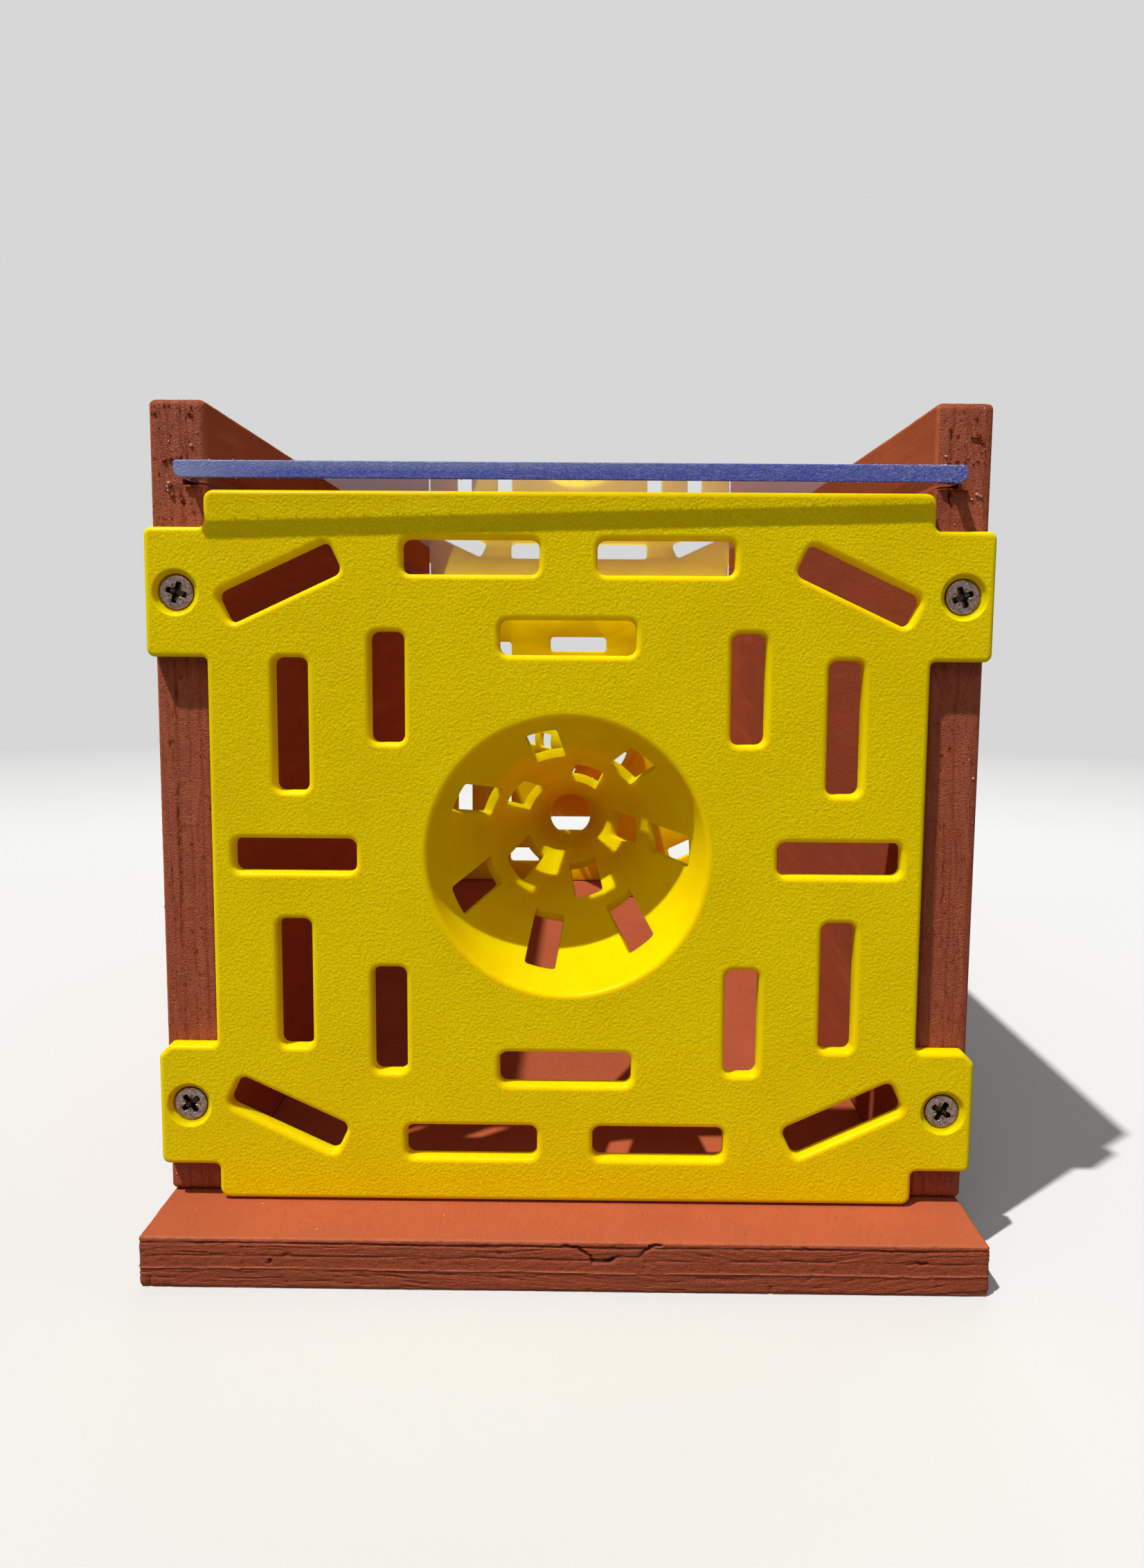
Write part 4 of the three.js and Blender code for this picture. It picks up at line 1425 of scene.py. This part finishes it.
def make_lid():
    low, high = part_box("lid_sheet")
    width, length, thickness = high - low
    section = lid_section(width, thickness)
    rng = np.random.default_rng(LID_SEED)
    solid = Solid()
    rings = []
    for end in (-1, 1):
        rough = 0.5 + 0.5 * noise(*section.T / LID_SAW_GRAIN, 20 + end)
        fine = rng.random(len(section))
        for depth, inset in LID_EDGE_ROWS:
            shrunk = section.copy()
            shrunk[:, 1] *= 1 - inset * (0.4 + 0.9 * rough + 0.5 * fine) / (thickness / 2)
            rings.append((end * (length / 2 - depth), shrunk))
    rings.sort(key=lambda ring: ring[0])
    rings = [solid.ring([(x, y, z) for x, z in points]) for y, points in rings]
    corner = np.where(section[:, 1] > 0, LID_TOP_CORNER, 0.7 * LID_LOW_CORNER)
    flat = np.abs(section[:, 0]) < width / 2 - corner
    for k, (first, second) in enumerate(zip(rings, rings[1:])):
        for i in range(len(first)):
            j = (i + 1) % len(first)
            clear = k == 2 and flat[i] and flat[j]
            solid.face((first[i], first[j], second[j], second[i]), 0 if clear else 1)
    rims = len(solid.faces)
    solid.fill([rings[0]], (0, 2), 1)
    solid.fill([rings[-1]], (0, 2), 1)
    add_chips(solid, rng, width, length, thickness)
    solid.points = [(x, y + LID_SKEW * x, z) for x, y, z in solid.points]
    place = Matrix.Translation((low + high) / 2 + Vector((LID_SHIFT, 0, 0)))
    piece = solid.piece("lid_sheet_clear", [lid_face(), lid_edge(), lid_chips()], place)
    smooth = [look == 1 and i < rims for i, look in enumerate(solid.looks)]
    piece.data.polygons.foreach_set("use_smooth", smooth)
    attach(piece, "lid")
    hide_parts("lid_sheet")


def flake(solid, rng, spot, size, rise, out):
    """A small four-sided flake on a surface at spot, standing up by rise and out along y by its size."""
    x, y, z = spot
    points = [
        (x - size, y, z),
        (x + size * rng.uniform(0.5, 1.6), y, z),
        (x + size * rng.uniform(-0.4, 0.4), y + out * size, z),
        (x + size * rng.uniform(-0.9, 0.9), y + out * size * 0.4, z + rise),
    ]
    a, b, c, d = solid.ring(points)
    for corners in ((a, b, d), (b, c, d), (c, a, d), (a, c, b)):
        solid.face(corners, 2)


def add_chips(solid, rng, width, length, thickness):
    """Small flakes that the saw left on the lid's ends."""
    half = thickness / 2
    for end in (-1, 1):
        # Along the top and bottom edges, more of them towards the right of the front end
        for _ in range(EDGE_CHIPS):
            sign = 1 if rng.random() < TOP_SHARE else -1
            x = (rng.uniform(0, 1) ** 0.75 - 0.5) * 0.988 * width * -end
            y = end * (length / 2 - rng.uniform(0.05, 0.25) * MM)
            size = rng.uniform(0.04, 0.1) * MM * (2.2 if rng.random() < 0.1 else 1)
            rise = min(size * rng.uniform(0.8, 2.2), LID_FRAY + 0.12 * MM) * sign
            flake(solid, rng, (x, y, (half - 0.12 * MM) * sign), size, rise, -end)
        # Clumps of them by the right end
        for _ in range(CLUMP_CHIPS):
            x = (0.494 - 0.17 * rng.uniform(0, 1) ** 1.6) * width * -end
            z = (half - rng.uniform(0.1, 0.5) * MM) * (1 if rng.random() < 0.8 else -1)
            y = end * (length / 2 - rng.uniform(0.02, 0.2) * MM)
            size = rng.uniform(0.07, 0.17) * MM
            rise = min(size * rng.uniform(0.6, 1.6), LID_FRAY + 0.1 * MM) * (1 if z > 0 else -1)
            flake(solid, rng, (x, y, z), size, rise, end * rng.choice((-1, 1)))
        # A few on the sawn face itself
        for _ in range(FACE_CHIPS):
            x = rng.uniform(-0.49, 0.49) * width
            z = rng.uniform(-0.42, 0.42) * thickness
            size = rng.uniform(0.03, 0.08) * MM
            spot = (x, end * (length / 2 - 0.13 * MM), z)
            flake(solid, rng, spot, size, size * rng.uniform(-1, 1), end)


# Stage
def make_camera():
    data = bpy.data.cameras.new("camera")
    data.sensor_width = SENSOR
    data.lens = FOCAL_PIXELS * SENSOR / max(IMAGE_WIDTH, IMAGE_HEIGHT)
    data.clip_start = CLIP_START
    camera = new_object("camera", data)
    turn = Matrix.Rotation(-CAMERA_YAW, 4, "Z") @ Matrix.Rotation(math.pi / 2 - CAMERA_PITCH, 4, "X")
    turn = turn @ Matrix.Rotation(CAMERA_ROLL, 4, "Z")
    camera.matrix_world = Matrix.Translation(CAMERA_PLACE) @ turn
    bpy.context.scene.camera = camera


def sun_light(name, travel, strength, spread, colour):
    """A light from far off. A white surface that faces it gets strength as its brightness."""
    data = bpy.data.lights.new(name, "SUN")
    data.energy = strength * math.pi
    data.angle = math.radians(spread)
    data.color = colour
    light = new_object(name, data)
    light.rotation_euler = Vector(travel).to_track_quat("-Z", "Y").to_euler()


def make_stage():
    floor = Solid()
    reach = FLOOR_REACH
    corners = ((-reach, -reach), (reach, -reach), (reach, reach), (-reach, reach))
    floor.face(floor.ring(lifted(corners, 0)))
    ground = floor.piece("floor", [floor_paper()])
    for name, light in LIGHTS.items():
        sun_light(name, *light)
    n = Nodes(bpy.data.worlds.new("world"))
    soft = n.add("Background", {"Color": SKY_LIGHT, "Strength": SKY_STRENGTH}).outputs["Background"]
    backdrop = n.add("Background", {"Color": BACKGROUND, "Strength": 1.0}).outputs["Background"]
    bpy.context.scene.world = n.end(n.mix_shaders(n.seen(), soft, backdrop), "OutputWorld")
    bpy.context.scene.view_settings.view_transform = "Standard"


make_camera()
make_stage()
make_boards()
make_plates()
make_screws()
make_lid()
